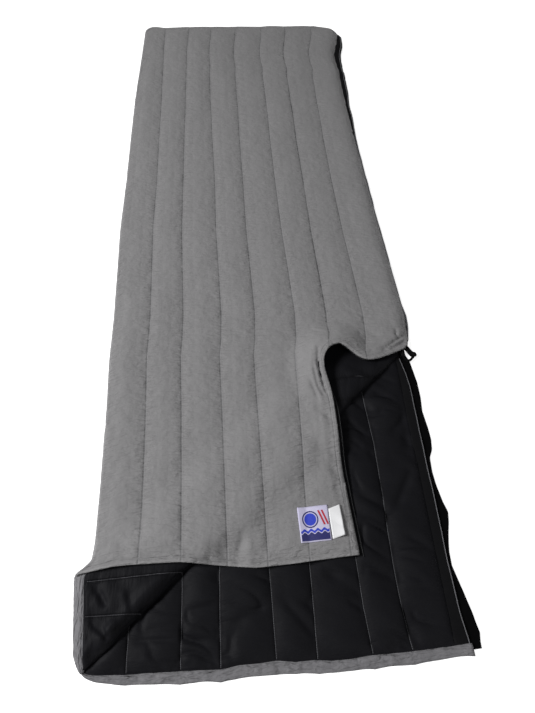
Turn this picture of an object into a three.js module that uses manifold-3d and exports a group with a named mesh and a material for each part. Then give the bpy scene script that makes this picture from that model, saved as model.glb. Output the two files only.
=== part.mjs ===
// A quilted poncho liner with a zip along one side, folded in half along its length and laid
// flat. The near corner of its upper layer is tucked in along a diagonal, so that the black
// lining shows. Millimetres. X runs across the folded liner, Y along it from the near hem,
// Z up from the surface it lies on. The finished part has its origin under its middle.
import * as THREE from "three";
import { mergeVertices } from "three/addons/utils/BufferGeometryUtils.js";
import Module from "manifold-3d";

// Driving dimensions of the cloth.
const LENGTH = 2252; // near hem to far hem
const LOFT = 10; // thickness in the middle of a channel
const SEAM = 4; // thickness at a sewn seam
const HEM = 5; // thickness of a turned hem
const LAYER_GAP = 2.5; // air between two layers that lie on each other
const GROOVE = 2; // how far a seam is drawn up from the surface below
const CORNER = 42; // rounding of the two far corners
const HEM_FADE = 45; // from a hem, how far in the cloth is at its full thickness
const HEM_ABOVE_AT = 190; // the upper layer's near hem, from the lower one's
const TUCK = 200; // how far the near corner of the upper layer is pulled in
const FOLD_UNDER = 26; // how far the upper layer reaches back under itself past the fold
const FOLD_TURNS = 6; // steps round the fold
const CLOSED_EDGE = { height: 11.5, droop: 46 }; // middle of the upper layer at the closed zip
const GAP = 0.4; // between sewn-on pieces and the cloth

// Driving dimensions of the zip, its pull and the labels.
const TAPE_WIDTH = 15;
const TAPE_THICKNESS = 1.2;
const COIL = 3;
const FLAP_INNER = 752;
const FLAP_THICKNESS = 2.6;
const TAPE_ABOVE = 6; // what shows of the upper layer's tape
const CLOSED_ZIP = { thickness: 3.4, inner: 9, outer: 2, gap: 3, lean: 2.6, farLean: 10 };
const SLIDER = { x: 776, y: 706, z: 9, width: 12, length: 17, height: 8, bevel: 1 };
const PULL_CORD = 5;
const PULL_END = { x: 803, y: 701, z: 11.5, radius: 4.6 };
const PATCH = { x: 439, y: 230, width: 70, length: 76, thickness: 0.9 };
const CARE = { x: 511.5, y: 238, width: 27, length: 68, thickness: 0.7 };

// Seams across each layer, measured from the fold at the left.
const SEAMS_BELOW = [0, 84, 188, 266, 375, 458, 569, 655, 744];
const SEAMS_ABOVE = [0, 94, 178, 277, 366, 470, 558, 656, 772];

// A channel's section: how far along it, and its thickness there as a share of the loft.
const CHANNEL = [
  { along: 0, share: SEAM / LOFT },
  { along: 0.15, share: 0.82 },
  { along: 0.35, share: 1 },
  { along: 0.65, share: 1 },
  { along: 0.85, share: 0.82 },
];

// The folded liner's sides, at stations along its length.
const SIDES = [
  { y: -20, left: 4, right: 766, below: 744 },
  { y: 218, left: 4, right: 766, below: 744 },
  { y: 381, left: 2, right: 766, below: 744 },
  { y: 528, left: -1, right: 768, below: 744 },
  { y: 704, left: -8, right: 772, below: 744 },
  { y: 750, left: -8, right: 785, below: 768 },
  { y: 830, left: -8, right: 791, below: 780 },
  { y: 964, left: -12, right: 785, below: 776 },
  { y: 1141, left: -17, right: 775, below: 768 },
  { y: 1355, left: -15, right: 767, below: 760 },
  { y: 1558, left: -16, right: 758, below: 752 },
  { y: 1770, left: -16, right: 754, below: 748 },
  { y: 1868, left: -14, right: 761, below: 752 },
  { y: 2071, left: -9, right: 760, below: 752 },
  { y: 2260, left: -4, right: 772, below: 762 },
];

// The near hem of the lower layer and of the upper one, across the liner.
const HEM_BELOW = [
  { x: 0, y: 14 },
  { x: 56, y: -3 },
  { x: 146, y: -12 },
  { x: 500, y: -12 },
  { x: 652, y: -7 },
  { x: 744, y: 1 },
];
const HEM_ABOVE = [
  { x: -10, y: 190 },
  { x: 66, y: 202 },
  { x: 171, y: 202 },
  { x: 265, y: 193 },
  { x: 338, y: 185 },
  { x: 437, y: 190 },
  { x: 568, y: 200 },
];

// The open edge of the upper layer, from its near corner round the arch to the slider.
// Height is that of the middle of the layer.
const OPEN_EDGE = [
  { x: 568, y: 196, height: 18 },
  { x: 558, y: 330, height: 18 },
  { x: 554, y: 405, height: 19 },
  { x: 552, y: 470, height: 37 },
  { x: 551, y: 535, height: 39 },
  { x: 548, y: 600, height: 42 },
  { x: 540, y: 642, height: 49 },
  { x: 544, y: 677, height: 57 },
  { x: 559, y: 697, height: 60 },
  { x: 580, y: 707, height: 60 },
  { x: 598, y: 701, height: 55 },
  { x: 617, y: 690, height: 46 },
  { x: 635, y: 678, height: 41 },
  { x: 655, y: 672, height: 38 },
  { x: 677, y: 675, height: 35 },
  { x: 711, y: 687, height: 30 },
  { x: 748, y: 705, height: 22 },
  { x: 774, y: 720, height: 14 },
];

// The rolled diagonal edge of the tuck, at stations along the liner. Rise is the share of
// the full height that the two tucked layers reach there.
const DIAGONAL = [
  { y: 8, x: 7, rise: 0.1 },
  { y: 40, x: 42, rise: 0.75 },
  { y: 100, x: 102, rise: 1 },
  { y: 190, x: 194, rise: 1 },
  { y: 515, x: 572, rise: 1 },
  { y: 655, x: 706, rise: 0.9 },
  { y: 700, x: 752, rise: 0.45 },
];

// The tuck's own hem, which lies over the left fold.
const RIM = [
  { y: 8, x: 2 },
  { y: 40, x: -7 },
  { y: 100, x: -17 },
  { y: 145, x: -22 },
  { y: 196, x: -24 },
];

// The zip on the lower layer: its tape's inner edge, its coil and the flap outside it.
const ZIP_BELOW = [
  { y: 12, tape: 751, coil: 771, flap: 797 },
  { y: 40, tape: 749, coil: 769, flap: 799 },
  { y: 150, tape: 748, coil: 763, flap: 775 },
  { y: 285, tape: 748, coil: 764, flap: 788 },
  { y: 345, tape: 748, coil: 764, flap: 778 },
  { y: 440, tape: 748, coil: 763, flap: 783 },
  { y: 560, tape: 748, coil: 763, flap: 786 },
  { y: 640, tape: 749, coil: 764, flap: 783 },
  { y: 696, tape: 750, coil: 764, flap: 780 },
];

// The pull's cord: a closed loop from the slider, drawn out to a point.
const PULL_LOOP = [
  { x: 787, y: 712, z: 13 },
  { x: 795, y: 711, z: 13 },
  { x: 802, y: 705, z: 12 },
  { x: 803, y: 698, z: 11 },
  { x: 796, y: 690, z: 10.5 },
  { x: 788, y: 683, z: 10 },
  { x: 786, y: 692, z: 10.5 },
  { x: 786, y: 703, z: 12 },
];

const EDGE_STEPS = 45; // points along the open edge

// Where rows of points cross the liner.
const ROWS_NEAR = [0, 25, 90, 165, 240, 310, 390, 470, 540, 600, 640, 680, 720, 770];
const ROWS_FAR = [850, 980, 1140, 1320, 1500, 1680, 1860, 2040, 2180, LENGTH];
const ROWS_TUCK = [8, 40, 75, 110, 150, 185, 225, 290, 360, 430, 500, 550, 600, 650, 700];
const ROWS_CLOSED = [744, 850, 964, 1141, 1355, 1558, 1700, 1868, 2000, 2110, 2190];

const wasm = await Module();
wasm.setup();
const { Manifold, Mesh } = wasm;

// Straight-line reading of a table: its column named value where its column named key is at.
function read(table, key, at, value) {
  const last = table.length - 1;
  if (at <= table[0][key]) return table[0][value];
  if (at >= table[last][key]) return table[last][value];
  const i = table.findIndex((row) => row[key] > at);
  const [a, b] = [table[i - 1], table[i]];
  return THREE.MathUtils.mapLinear(at, a[key], b[key], a[value], b[value]);
}

const side = (y, name) => read(SIDES, "y", y, name);
const smooth = (at, from, to) => THREE.MathUtils.smoothstep(at, from, to);

// The points across a layer, each with its place and its share of the loft.
function channelColumns(seams) {
  const columns = [];
  for (let i = 0; i < seams.length - 1; i++) {
    for (const { along, share } of CHANNEL) {
      columns.push({ x: THREE.MathUtils.lerp(seams[i], seams[i + 1], along), share });
    }
  }
  columns.push({ x: seams.at(-1), share: HEM / LOFT });
  return columns;
}

// How far the far hem is drawn back near the liner's rounded corners.
function cornerDrop(fromSide) {
  const inside = THREE.MathUtils.clamp(fromSide, 0, CORNER);
  return CORNER - Math.sqrt(CORNER ** 2 - (CORNER - inside) ** 2);
}

// Closed geometry between two grids of points, upper and lower, row by row.
function between(upper, lower) {
  const rows = upper.length;
  const columns = upper[0].length;
  const points = [...upper.flat(), ...lower.flat()];
  const index = [];
  const top = (r, c) => r * columns + c;
  const under = (r, c) => rows * columns + r * columns + c;
  const quad = (a, b, c, d) => index.push(a, b, c, a, c, d);
  for (let r = 0; r < rows - 1; r++) {
    for (let c = 0; c < columns - 1; c++) {
      quad(top(r, c), top(r, c + 1), top(r + 1, c + 1), top(r + 1, c));
      quad(under(r, c), under(r + 1, c), under(r + 1, c + 1), under(r, c + 1));
    }
    quad(top(r, 0), top(r + 1, 0), under(r + 1, 0), under(r, 0));
    quad(top(r, columns - 1), under(r, columns - 1), under(r + 1, columns - 1), top(r + 1, columns - 1));
  }
  for (let c = 0; c < columns - 1; c++) {
    quad(top(0, c), under(0, c), under(0, c + 1), top(0, c + 1));
    quad(top(rows - 1, c), top(rows - 1, c + 1), under(rows - 1, c + 1), under(rows - 1, c));
  }
  const geometry = new THREE.BufferGeometry().setFromPoints(points);
  geometry.setIndex(index);
  return geometry;
}

// A layer's two faces, from the points along its middle: each row lies across the liner, and
// each point is moved half the thickness to either side of the row's line.
function thickened(rows) {
  const upper = [];
  const lower = [];
  for (const row of rows) {
    const up = [];
    const down = [];
    row.forEach((point, i) => {
      const before = row[Math.max(0, i - 1)];
      const after = row[Math.min(row.length - 1, i + 1)];
      const run = Math.hypot(after.x - before.x, after.z - before.z);
      const half = point.thickness / 2 / run;
      const dx = -(after.z - before.z) * half;
      const dz = (after.x - before.x) * half;
      up.push(new THREE.Vector3(point.x + dx, point.y, point.z + dz));
      down.push(new THREE.Vector3(point.x - dx, point.y, point.z - dz));
    });
    upper.push(up);
    lower.push(down);
  }
  return between(upper, lower);
}

function solidOf(geometry) {
  const bare = geometry.clone();
  bare.deleteAttribute("normal");
  bare.deleteAttribute("uv");
  const merged = mergeVertices(bare, 1e-3);
  return new Manifold(
    new Mesh({
      numProp: 3,
      vertProperties: merged.attributes.position.array,
      triVerts: new Uint32Array(merged.index.array),
    }),
  );
}

function geometryOf(solid) {
  const { vertProperties, triVerts } = solid.getMesh();
  const geometry = new THREE.BufferGeometry();
  geometry.setAttribute("position", new THREE.BufferAttribute(vertProperties, 3));
  geometry.setIndex(new THREE.BufferAttribute(triVerts, 1));
  geometry.computeVertexNormals();
  return geometry;
}

const edgeLine = new THREE.SplineCurve(OPEN_EDGE.map(({ x, y }) => new THREE.Vector2(x, y)));

// How the thickness thins towards a hem that is this far away.
const toHem = (distance) => THREE.MathUtils.lerp(HEM / LOFT, 1, smooth(distance, SEAM, HEM_FADE));

// The lower layer, flat on the surface, with its seams drawn up a little below.
function lowerLayer() {
  const columns = channelColumns(SEAMS_BELOW);
  const width = SEAMS_BELOW.at(-1);
  const upper = [];
  const lower = [];
  for (const row of [...ROWS_NEAR, ...ROWS_FAR]) {
    const over = [];
    const under = [];
    for (const { x, share } of columns) {
      const near = read(HEM_BELOW, "x", x, "y");
      const far = LENGTH - cornerDrop(x) - cornerDrop(width - x);
      const y = THREE.MathUtils.mapLinear(row, 0, LENGTH, near, far);
      const left = Math.max(side(y, "left"), -8) + 10;
      const across = THREE.MathUtils.mapLinear(x, 0, width, left, side(y, "below"));
      const seam = 1 - smooth(share, SEAM / LOFT, 0.82);
      const thinned = Math.min(share, toHem(Math.min(row, LENGTH - row)));
      over.push(new THREE.Vector3(across, y, Math.max(thinned * LOFT, 2 * GROOVE)));
      under.push(new THREE.Vector3(across, y, x === width ? 0 : GROOVE * seam));
    }
    upper.push(over);
    lower.push(under);
  }
  return solidOf(between(upper, lower));
}

const ABOVE = LOFT * 1.5 + LAYER_GAP; // middle of the upper layer over one layer
const TUCKED = 2 * (LOFT * 0.8 + LAYER_GAP); // extra height over the two tucked layers

// Height of the middle of the upper layer.
function upperHeight(x, y) {
  const diagonal = read(DIAGONAL, "y", y, "x");
  const over = smooth(x, diagonal - TUCK - 10, diagonal - TUCK + 70) * (1 - smooth(x, diagonal + 4, diagonal + 60));
  const ends = 1 - smooth(y, 690, 830);
  let height = ABOVE + TUCKED * over * ends;
  // The open edge holds the cloth near it up to its own height.
  for (const edge of OPEN_EDGE) {
    const away = Math.hypot(x - edge.x, (y - edge.y) * 0.8);
    const held = 1 - smooth(away, 0, 90);
    height = Math.max(height, THREE.MathUtils.lerp(ABOVE, edge.height, held));
  }
  const right = side(y, "right");
  const droop = smooth(x, right - CLOSED_EDGE.droop, right) * smooth(y, 690, 740);
  return THREE.MathUtils.lerp(height, CLOSED_EDGE.height, droop);
}

// The upper layer with the fold at the left that joins it to the lower one.
function upperLayer() {
  const columns = channelColumns(SEAMS_ABOVE);
  const width = SEAMS_ABOVE.at(-1);
  const rows = [];
  const stations = [HEM_ABOVE_AT, ...ROWS_NEAR.filter((y) => y > HEM_ABOVE_AT), ...ROWS_FAR];
  for (const station of stations) {
    const row = [];
    const place = (x) => {
      const near = read(HEM_ABOVE, "x", x, "y");
      const far = LENGTH - cornerDrop(x) - cornerDrop(width - x);
      return THREE.MathUtils.mapLinear(station, HEM_ABOVE_AT, LENGTH, near, far);
    };
    const end = toHem(Math.min(station - HEM_ABOVE_AT, LENGTH - station));
    const edge = place(0);
    const left = side(edge, "left");
    const heightHere = upperHeight(left, edge);
    const radius = (heightHere - LOFT / 2) / 2;
    row.push({ x: left + FOLD_UNDER, y: edge, z: LOFT / 2, thickness: LOFT * 0.7 * end });
    for (let i = 0; i <= FOLD_TURNS; i++) {
      const angle = (Math.PI * i) / FOLD_TURNS;
      const x = left + SEAM / 2 + radius * (1 - Math.sin(angle));
      const z = LOFT / 2 + radius * (1 - Math.cos(angle));
      row.push({ x, y: edge, z, thickness: SEAM });
    }
    for (const { x, share } of columns.slice(2)) {
      const y = place(x);
      const across = THREE.MathUtils.mapLinear(x, 0, width, left, side(y, "right"));
      row.push({ x: across, y, z: upperHeight(across, y), thickness: LOFT * Math.min(share, end) });
    }
    rows.push(row);
  }
  return solidOf(thickened(rows)).subtract(openCorner());
}

// What the open edge of the upper layer leaves uncovered, as a solid to cut away.
function openCorner() {
  const points = edgeLine.getPoints(EDGE_STEPS);
  const beyond = points.at(-1).x + 100;
  const nearer = points[0].y - 60;
  const outline = new THREE.Shape([
    new THREE.Vector2(points[0].x, nearer),
    ...points,
    new THREE.Vector2(beyond, points.at(-1).y + 4),
    new THREE.Vector2(beyond, nearer),
  ]);
  const block = new THREE.ExtrudeGeometry(outline, { depth: 200, bevelEnabled: false });
  return solidOf(block);
}

// The two tucked layers: from the lower layer's left fold out to the rolled diagonal, and
// back over themselves to the tuck's own hem.
function tuckedLayers() {
  const rows = ROWS_TUCK.map((y) => {
    const rise = read(DIAGONAL, "y", y, "rise");
    const reach = read(DIAGONAL, "y", y, "x");
    const first = LOFT / 2 + (LOFT * 0.9 + LAYER_GAP) * rise;
    const second = first + (LOFT * 0.8 + LAYER_GAP) * rise;
    const thickness = LOFT * 0.8 * rise;
    const roll = (second - first) / 2;
    const open = y < TUCK;
    const row = [];
    const add = (x, z, share = 1) => row.push({ x, y, z, thickness: thickness * share });
    const start = open ? 0 : reach - TUCK + 30;
    const inner = reach - roll;
    if (open) {
      const bend = (first - LOFT / 2) / 2;
      add(start + bend + 8 * rise, LOFT / 2);
      add(start + bend, LOFT / 2);
      add(start + bend * 0.3, LOFT / 2 + bend * 0.3, 0.7);
      add(start, LOFT / 2 + bend, 0.55);
      add(start + bend * 0.3, first - bend * 0.3, 0.7);
      add(start + bend, first);
    } else {
      for (const step of [0, 4, 8, 12, 16, 20]) add(start + step, first);
    }
    const begin = row.at(-1).x;
    for (const along of [0.3, 0.6, 0.85]) add(THREE.MathUtils.lerp(begin, inner, along), first);
    for (let i = 0; i <= 4; i++) {
      const angle = (Math.PI * i) / 4;
      add(inner + roll * Math.sin(angle), first + roll * (1 - Math.cos(angle)));
    }
    const end = open ? read(RIM, "y", y, "x") : start + 8;
    for (const along of [0.25, 0.5, 0.75, 0.9]) add(THREE.MathUtils.lerp(inner, end, along), second);
    add(end, second - (open ? 4 * rise : 0), 0.6);
    return row;
  });
  return solidOf(thickened(rows.map((row) => row.reverse())));
}

// A flat band that stays level across, between an inner and an outer line of points.
function band(inner, outer, thickness) {
  const upper = inner.map((point, i) => [
    point.clone().setZ(point.z + thickness),
    outer[i].clone().setZ(outer[i].z + thickness),
  ]);
  const lower = inner.map((point, i) => [point.clone(), outer[i].clone()]);
  return between(upper, lower);
}

// A round cord along a route; a closed one returns to its start.
function tube(route, diameter, steps, sides, closed = false) {
  const curve = new THREE.CatmullRomCurve3(route, closed, "centripetal");
  const corners = Array.from({ length: sides }, (_, i) => {
    const angle = (2 * Math.PI * (i + 0.5)) / sides;
    return new THREE.Vector2(Math.cos(angle), Math.sin(angle)).multiplyScalar(diameter / 2);
  });
  const section = new THREE.Shape(corners);
  return new THREE.ExtrudeGeometry(section, { steps, extrudePath: curve, bevelEnabled: false });
}

// Points along the open edge, moved outwards from the cloth by a distance.
function alongOpenEdge(outwards, lift) {
  const heights = OPEN_EDGE.map(({ height }, i) => ({ at: i / (OPEN_EDGE.length - 1), height }));
  const points = [];
  for (let i = 0; i < EDGE_STEPS - 1; i++) {
    const at = i / EDGE_STEPS;
    const here = edgeLine.getPoint(at);
    const turn = edgeLine.getTangent(at);
    const height = read(heights, "at", at, "height") + lift;
    points.push(new THREE.Vector3(here.x + turn.y * outwards, here.y - turn.x * outwards, height));
  }
  return points;
}

const tapeLevel = LOFT / 2 - TAPE_THICKNESS / 2;
const lineBelow = (name, z, aside = 0) =>
  ZIP_BELOW.map((row) => new THREE.Vector3(row[name] + aside, row.y, z));

const zipTapeBelow = () =>
  band(lineBelow("tape", tapeLevel), lineBelow("tape", tapeLevel, TAPE_WIDTH), TAPE_THICKNESS);

const zipCoilBelow = () => {
  const height = tapeLevel + TAPE_THICKNESS + GAP + COIL / 2;
  return tube(lineBelow("coil", height, -COIL), COIL, 24, 6);
};

const draftFlap = () => {
  const inner = ZIP_BELOW.map(({ y }) => new THREE.Vector3(FLAP_INNER, y, 0));
  return band(inner, lineBelow("flap", 0), FLAP_THICKNESS);
};

// The upper layer's half of the open zip, just outside the cloth and a little below its middle.
const zipTapeAbove = () => {
  const inner = alongOpenEdge(GAP * 1.5, -TAPE_THICKNESS / 2);
  return band(inner, alongOpenEdge(GAP + TAPE_ABOVE, -TAPE_THICKNESS / 2), TAPE_THICKNESS);
};

const zipCoilAbove = () => {
  const below = -TAPE_THICKNESS - GAP - COIL / 2;
  return tube(alongOpenEdge(TAPE_ABOVE - COIL / 2, below), COIL, 60, 6);
};

// The closed part of the zip, from the slider to the far end: it leans out from under the
// upper layer's edge, more so towards the far end.
function closedZip() {
  const inner = [];
  const outer = [];
  for (const y of ROWS_CLOSED) {
    const lean = THREE.MathUtils.lerp(CLOSED_ZIP.lean, CLOSED_ZIP.farLean, smooth(y, 1450, 1800));
    const edge = side(y, "right") + CLOSED_ZIP.gap;
    inner.push(new THREE.Vector3(edge, y, CLOSED_ZIP.inner));
    outer.push(new THREE.Vector3(edge + lean, y, CLOSED_ZIP.outer));
  }
  return band(inner, outer, CLOSED_ZIP.thickness);
}

function slider() {
  const outline = new THREE.Shape();
  const half = SLIDER.width / 2;
  outline.moveTo(-half * 0.6, -SLIDER.length / 2);
  outline.lineTo(half * 0.6, -SLIDER.length / 2);
  outline.quadraticCurveTo(half, 0, half, SLIDER.length / 2);
  outline.lineTo(-half, SLIDER.length / 2);
  outline.quadraticCurveTo(-half, 0, -half * 0.6, -SLIDER.length / 2);
  return new THREE.ExtrudeGeometry(outline, {
    depth: SLIDER.height - 2 * SLIDER.bevel,
    bevelSize: SLIDER.bevel,
    bevelThickness: SLIDER.bevel,
    bevelSegments: 1,
    curveSegments: 5,
  });
}

// The pull: its loop of cord with a moulded end at the point.
function pull() {
  const route = PULL_LOOP.map(({ x, y, z }) => new THREE.Vector3(x, y, z));
  const loop = tube(route, PULL_CORD, 30, 8, true);
  const { x, y, z, radius } = PULL_END;
  const end = new THREE.SphereGeometry(radius, 10, 7).translate(x, y, z);
  return geometryOf(solidOf(loop).add(solidOf(end)));
}

const label = ({ width, length, thickness }) => new THREE.BoxGeometry(width, length, thickness);

const cloth = (color, roughness = 0.95) =>
  new THREE.MeshStandardMaterial({ color, roughness, metalness: 0 });
const greyShell = cloth("#868684");
const blackTape = cloth("#1b1b1c", 0.8);
const coilNylon = new THREE.MeshStandardMaterial({ color: "#77777a", roughness: 0.4, metalness: 0 });
const blackLining = cloth("#1e1e20");
const sliderMetal = new THREE.MeshStandardMaterial({ color: "#121213", roughness: 0.45, metalness: 0.6 });
const pullCord = cloth("#0e0e0f", 0.7);
const patchCloth = cloth("#7f88c4", 0.7);
const careCloth = cloth("#e4e4ea", 0.8);

function piece(name, geometry, material, x = 0, y = 0, z = 0) {
  const mesh = new THREE.Mesh(geometry, material);
  mesh.name = name;
  mesh.position.set(x, y, z);
  return mesh;
}

const quilt = geometryOf(lowerLayer().add(upperLayer()).add(tuckedLayers()));
const labelLevel = ABOVE + LOFT / 2 + GAP;
const zip = new THREE.Group();
zip.add(
  piece("zip_tape_below", zipTapeBelow(), blackTape),
  piece("zip_coil_below", zipCoilBelow(), coilNylon),
  piece("zip_tape_above", zipTapeAbove(), blackTape),
  piece("zip_coil_above", zipCoilAbove(), coilNylon),
  piece("zip_closed", closedZip(), blackTape),
  piece("draft_flap", draftFlap(), blackLining),
  piece("zip_slider", slider(), sliderMetal, SLIDER.x, SLIDER.y, SLIDER.z + SLIDER.bevel),
  piece("zip_pull", pull(), pullCord),
);
const labels = new THREE.Group();
labels.add(
  piece(
    "label_patch",
    label(PATCH),
    patchCloth,
    PATCH.x + PATCH.width / 2,
    PATCH.y + PATCH.length / 2,
    labelLevel + PATCH.thickness / 2,
  ),
  piece(
    "care_label",
    label(CARE),
    careCloth,
    CARE.x + CARE.width / 2,
    CARE.y + CARE.length / 2,
    labelLevel + CARE.thickness / 2,
  ),
);

const liner = new THREE.Group();
liner.add(piece("quilt", quilt, greyShell), zip, labels);

// The origin goes to the middle of the liner's box, on the surface.
const box = new THREE.Box3().setFromObject(liner, true);
const middle = box.getCenter(new THREE.Vector3());
liner.position.set(-middle.x, -middle.y, -box.min.z);

export default liner;
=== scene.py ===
"""A quilted poncho liner, folded in half along its length, with its side zip part open.

Every size is in millimetres and in the liner's plan: X runs across the folded liner from its
fold, Y along it from the near hem, and Z up from the surface that it lies on. One function
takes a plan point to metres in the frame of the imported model.
"""

from __future__ import annotations

import logging
import math
from collections.abc import Callable, Sequence
from dataclasses import dataclass, field
from enum import Enum

import bmesh
import bpy
import numpy as np
from mathutils import Matrix, Vector
from mathutils.bvhtree import BVHTree

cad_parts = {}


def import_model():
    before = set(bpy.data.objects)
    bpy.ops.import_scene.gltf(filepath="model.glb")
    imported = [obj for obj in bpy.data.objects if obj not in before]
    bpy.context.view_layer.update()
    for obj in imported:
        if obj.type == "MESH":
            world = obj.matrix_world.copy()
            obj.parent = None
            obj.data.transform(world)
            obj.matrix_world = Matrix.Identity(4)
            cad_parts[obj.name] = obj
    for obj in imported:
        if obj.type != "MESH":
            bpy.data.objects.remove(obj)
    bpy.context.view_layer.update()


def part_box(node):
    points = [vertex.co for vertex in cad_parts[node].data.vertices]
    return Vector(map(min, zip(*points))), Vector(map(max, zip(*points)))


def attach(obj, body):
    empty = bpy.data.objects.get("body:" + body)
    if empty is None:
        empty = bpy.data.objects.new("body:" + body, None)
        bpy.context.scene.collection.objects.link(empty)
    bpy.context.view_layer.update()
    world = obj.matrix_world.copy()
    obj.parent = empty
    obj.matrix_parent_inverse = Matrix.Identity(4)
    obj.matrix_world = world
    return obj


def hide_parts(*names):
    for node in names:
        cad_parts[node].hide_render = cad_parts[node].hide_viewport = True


LOG = logging.getLogger("liner")
MM = 0.001
BODY = "root"
Array = np.ndarray
Pair = tuple[Array, Array]
Triple = tuple[Array, Array, Array]
Table = Sequence[Sequence[float]]
Material = bpy.types.Material
Piece = bpy.types.Object
Pieces = dict[str, Piece]
Tree = bpy.types.NodeTree
Socket = bpy.types.NodeSocket


class Side(Enum):
    """The faces of the quilted cloth, numbered as its material slots."""

    SHELL = 0
    LINING = 1
    FACING = 2


# Sizes that the liner's pieces share, in millimetres.
LENGTH = 2252.0
LOFT = 10.0
SEAM_THICKNESS = 3.4
HEM_THICKNESS = 4.6
LAYER_GAP = 2.5
HEM_BACK = 190.0  # the upper layer's near hem, from the lower one's
TUCK = 200.0  # how far the near corner of the upper layer is pulled in
CORNER_LEFT = 42.0
CORNER_RIGHT = 24.0
FACING = 20.0
HEM_STITCH = 11.0

PATCH_CORNER = (439.0, 230.0)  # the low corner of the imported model's patch, in the plan
PATCH_SIZE = (70.0, 76.0)
CARE_SIZE = (27.0, 68.0)
FLOOR_CLEARANCE = 0.15  # the cloth's lowest point above the floor
NO_SEAM = 99.0  # stands for the distance to a seam where there is none

SEAMS_BELOW = (0.0, 84.0, 188.0, 266.0, 375.0, 458.0, 569.0, 655.0, 744.0)
SEAMS_ABOVE = (-10.0, 94.0, 178.0, 277.0, 366.0, 470.0, 558.0, 656.0, 772.0)
SEAMS_TUCK = (-20.0, 111.0, 178.0, 277.0, 366.0, 455.0, 540.0, 600.0, 770.0)

# How far each inner seam of the upper layer wanders: station along, then one column a seam.
SEAM_SWAY = (
    (205, 3, 8, 6, 4, -9, -5, 0), (460, 1, 3, 3, 1, -3, -3, 0), (745, -1, 0, 0, -1, 2, -3, -1),
    (1350, 1, -1, -1, -1, -2, 2, -3), (1765, 0, 2, -8, 0, 1, 5, 4),
    (2230, -17, -7, -19, -11, -11, -1, 8),
)

# The same for the lower layer.
SEAM_SWAY_BELOW = (
    (13, 0, 0, 0, 1, 0, 1, -2), (99, 0, 0, -1, -1, 1, -5, -11), (190, 0, 0, 0, -4, 1, -8, -13),
    (455, 0, 0, 0, 0, 0, -8, -11), (580, 0, 0, 0, 0, 0, -8, -20), (760, 0, 0, 0, 0, 0, -8, -20),
)

# The far hem: place across, place along.
HEM_FAR = (
    (0, 2226), (48, 2228), (89, 2224), (129, 2228), (169, 2237), (250, 2243), (332, 2248),
    (374, 2255), (457, 2257), (499, 2264), (583, 2267), (626, 2272), (669, 2276), (710, 2268),
    (751, 2260), (790, 2256),
)

# The folded liner's sides: station along it, left fold, right edge above, right edge below.
SIDES = (
    (180, 4, 766, 744), (218, 4, 766, 744), (381, 2, 766, 744), (528, -1, 768, 744),
    (704, -8, 772, 744), (750, -8, 785, 768), (830, -8, 791, 780), (964, -12, 785, 776),
    (1141, -17, 775, 768), (1355, -15, 767, 760), (1558, -16, 758, 751), (1700, -16, 756, 748),
    (1770, -16, 752, 744), (1868, -14, 752, 743), (1935, -12, 750, 741), (1974, -11, 756, 745),
    (2014, -10, 749, 740), (2054, -9, 747, 738), (2096, -8, 750, 741), (2138, -7, 758, 749),
    (2182, -6, 769, 760), (2226, -5, 776, 767), (2260, -4, 776, 767),
)

# Near hems: place across, place along.
HEM_BELOW = (
    (0, 14), (6, 8), (12, 5), (28, 0), (56, -5), (76, -8), (135, -12), (226, -13), (265, -15),
    (302, -10), (339, -10), (376, -8), (412, -12), (449, -11), (486, -14), (523, -13), (560, -9),
    (652, -7), (744, 1),
)
HEM_ABOVE = (
    (-10, 187), (20, 193), (47, 199), (73, 201), (171, 202), (265, 193), (338, 185), (437, 190),
    (568, 200),
)

# Width of the grey facing along the lower layer's near hem: place across, width.
FACING_BELOW = ((0, 5), (28, 10), (62, 15), (94, 17), (124, 20), (226, 20), (376, 22), (744, 20))

# The upper layer's open edge, from its near corner round the arch to the slider: place
# across, place along, height of the middle of the layer.
OPEN_EDGE = (
    (568, 196, 18), (558, 330, 18), (554, 405, 19), (552, 470, 37), (551, 535, 39),
    (547, 590, 42), (537, 640, 49), (538, 672, 57), (553, 698, 60), (579, 710, 60),
    (598, 703, 55), (617, 690, 46), (635, 678, 41), (655, 672, 38), (677, 675, 35),
    (711, 687, 30), (748, 705, 22), (774, 720, 14),
)

# The tuck's rolled diagonal edge: place along, place across, share of its full height.
DIAGONAL = (
    (14, 1, 0.2), (20, 4, 0.4), (28, 13, 0.6), (36, 24, 0.75), (45, 36, 0.9), (54, 47, 1.0),
    (81, 73, 1.0), (108, 103, 1.0), (135, 132, 1.0), (164, 163, 1.0), (190, 194, 1.0),
    (505, 539, 1.0), (537, 573, 1.0), (593, 632, 1.0), (654, 702, 0.9), (700, 748, 0.45),
    (745, 758, 0.3),
)

# The tuck's own hem over the left fold: place along, place across.
RIM = (
    (14, -1), (21, -6), (31, -10), (47, -13), (72, -17), (100, -20), (145, -25), (170, -28),
    (184, -29), (192, -24), (199, -15),
)

# Nearer than this, the tuck shows only its facing.
CORNER_FACED = 22.0

# Width of the grey facing along the tuck's own hem: place along, width.
FACING_TUCK = ((14, 6), (21, 10), (31, 14), (47, 17), (72, 18.5), (93, 19), (196, 20))

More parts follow.
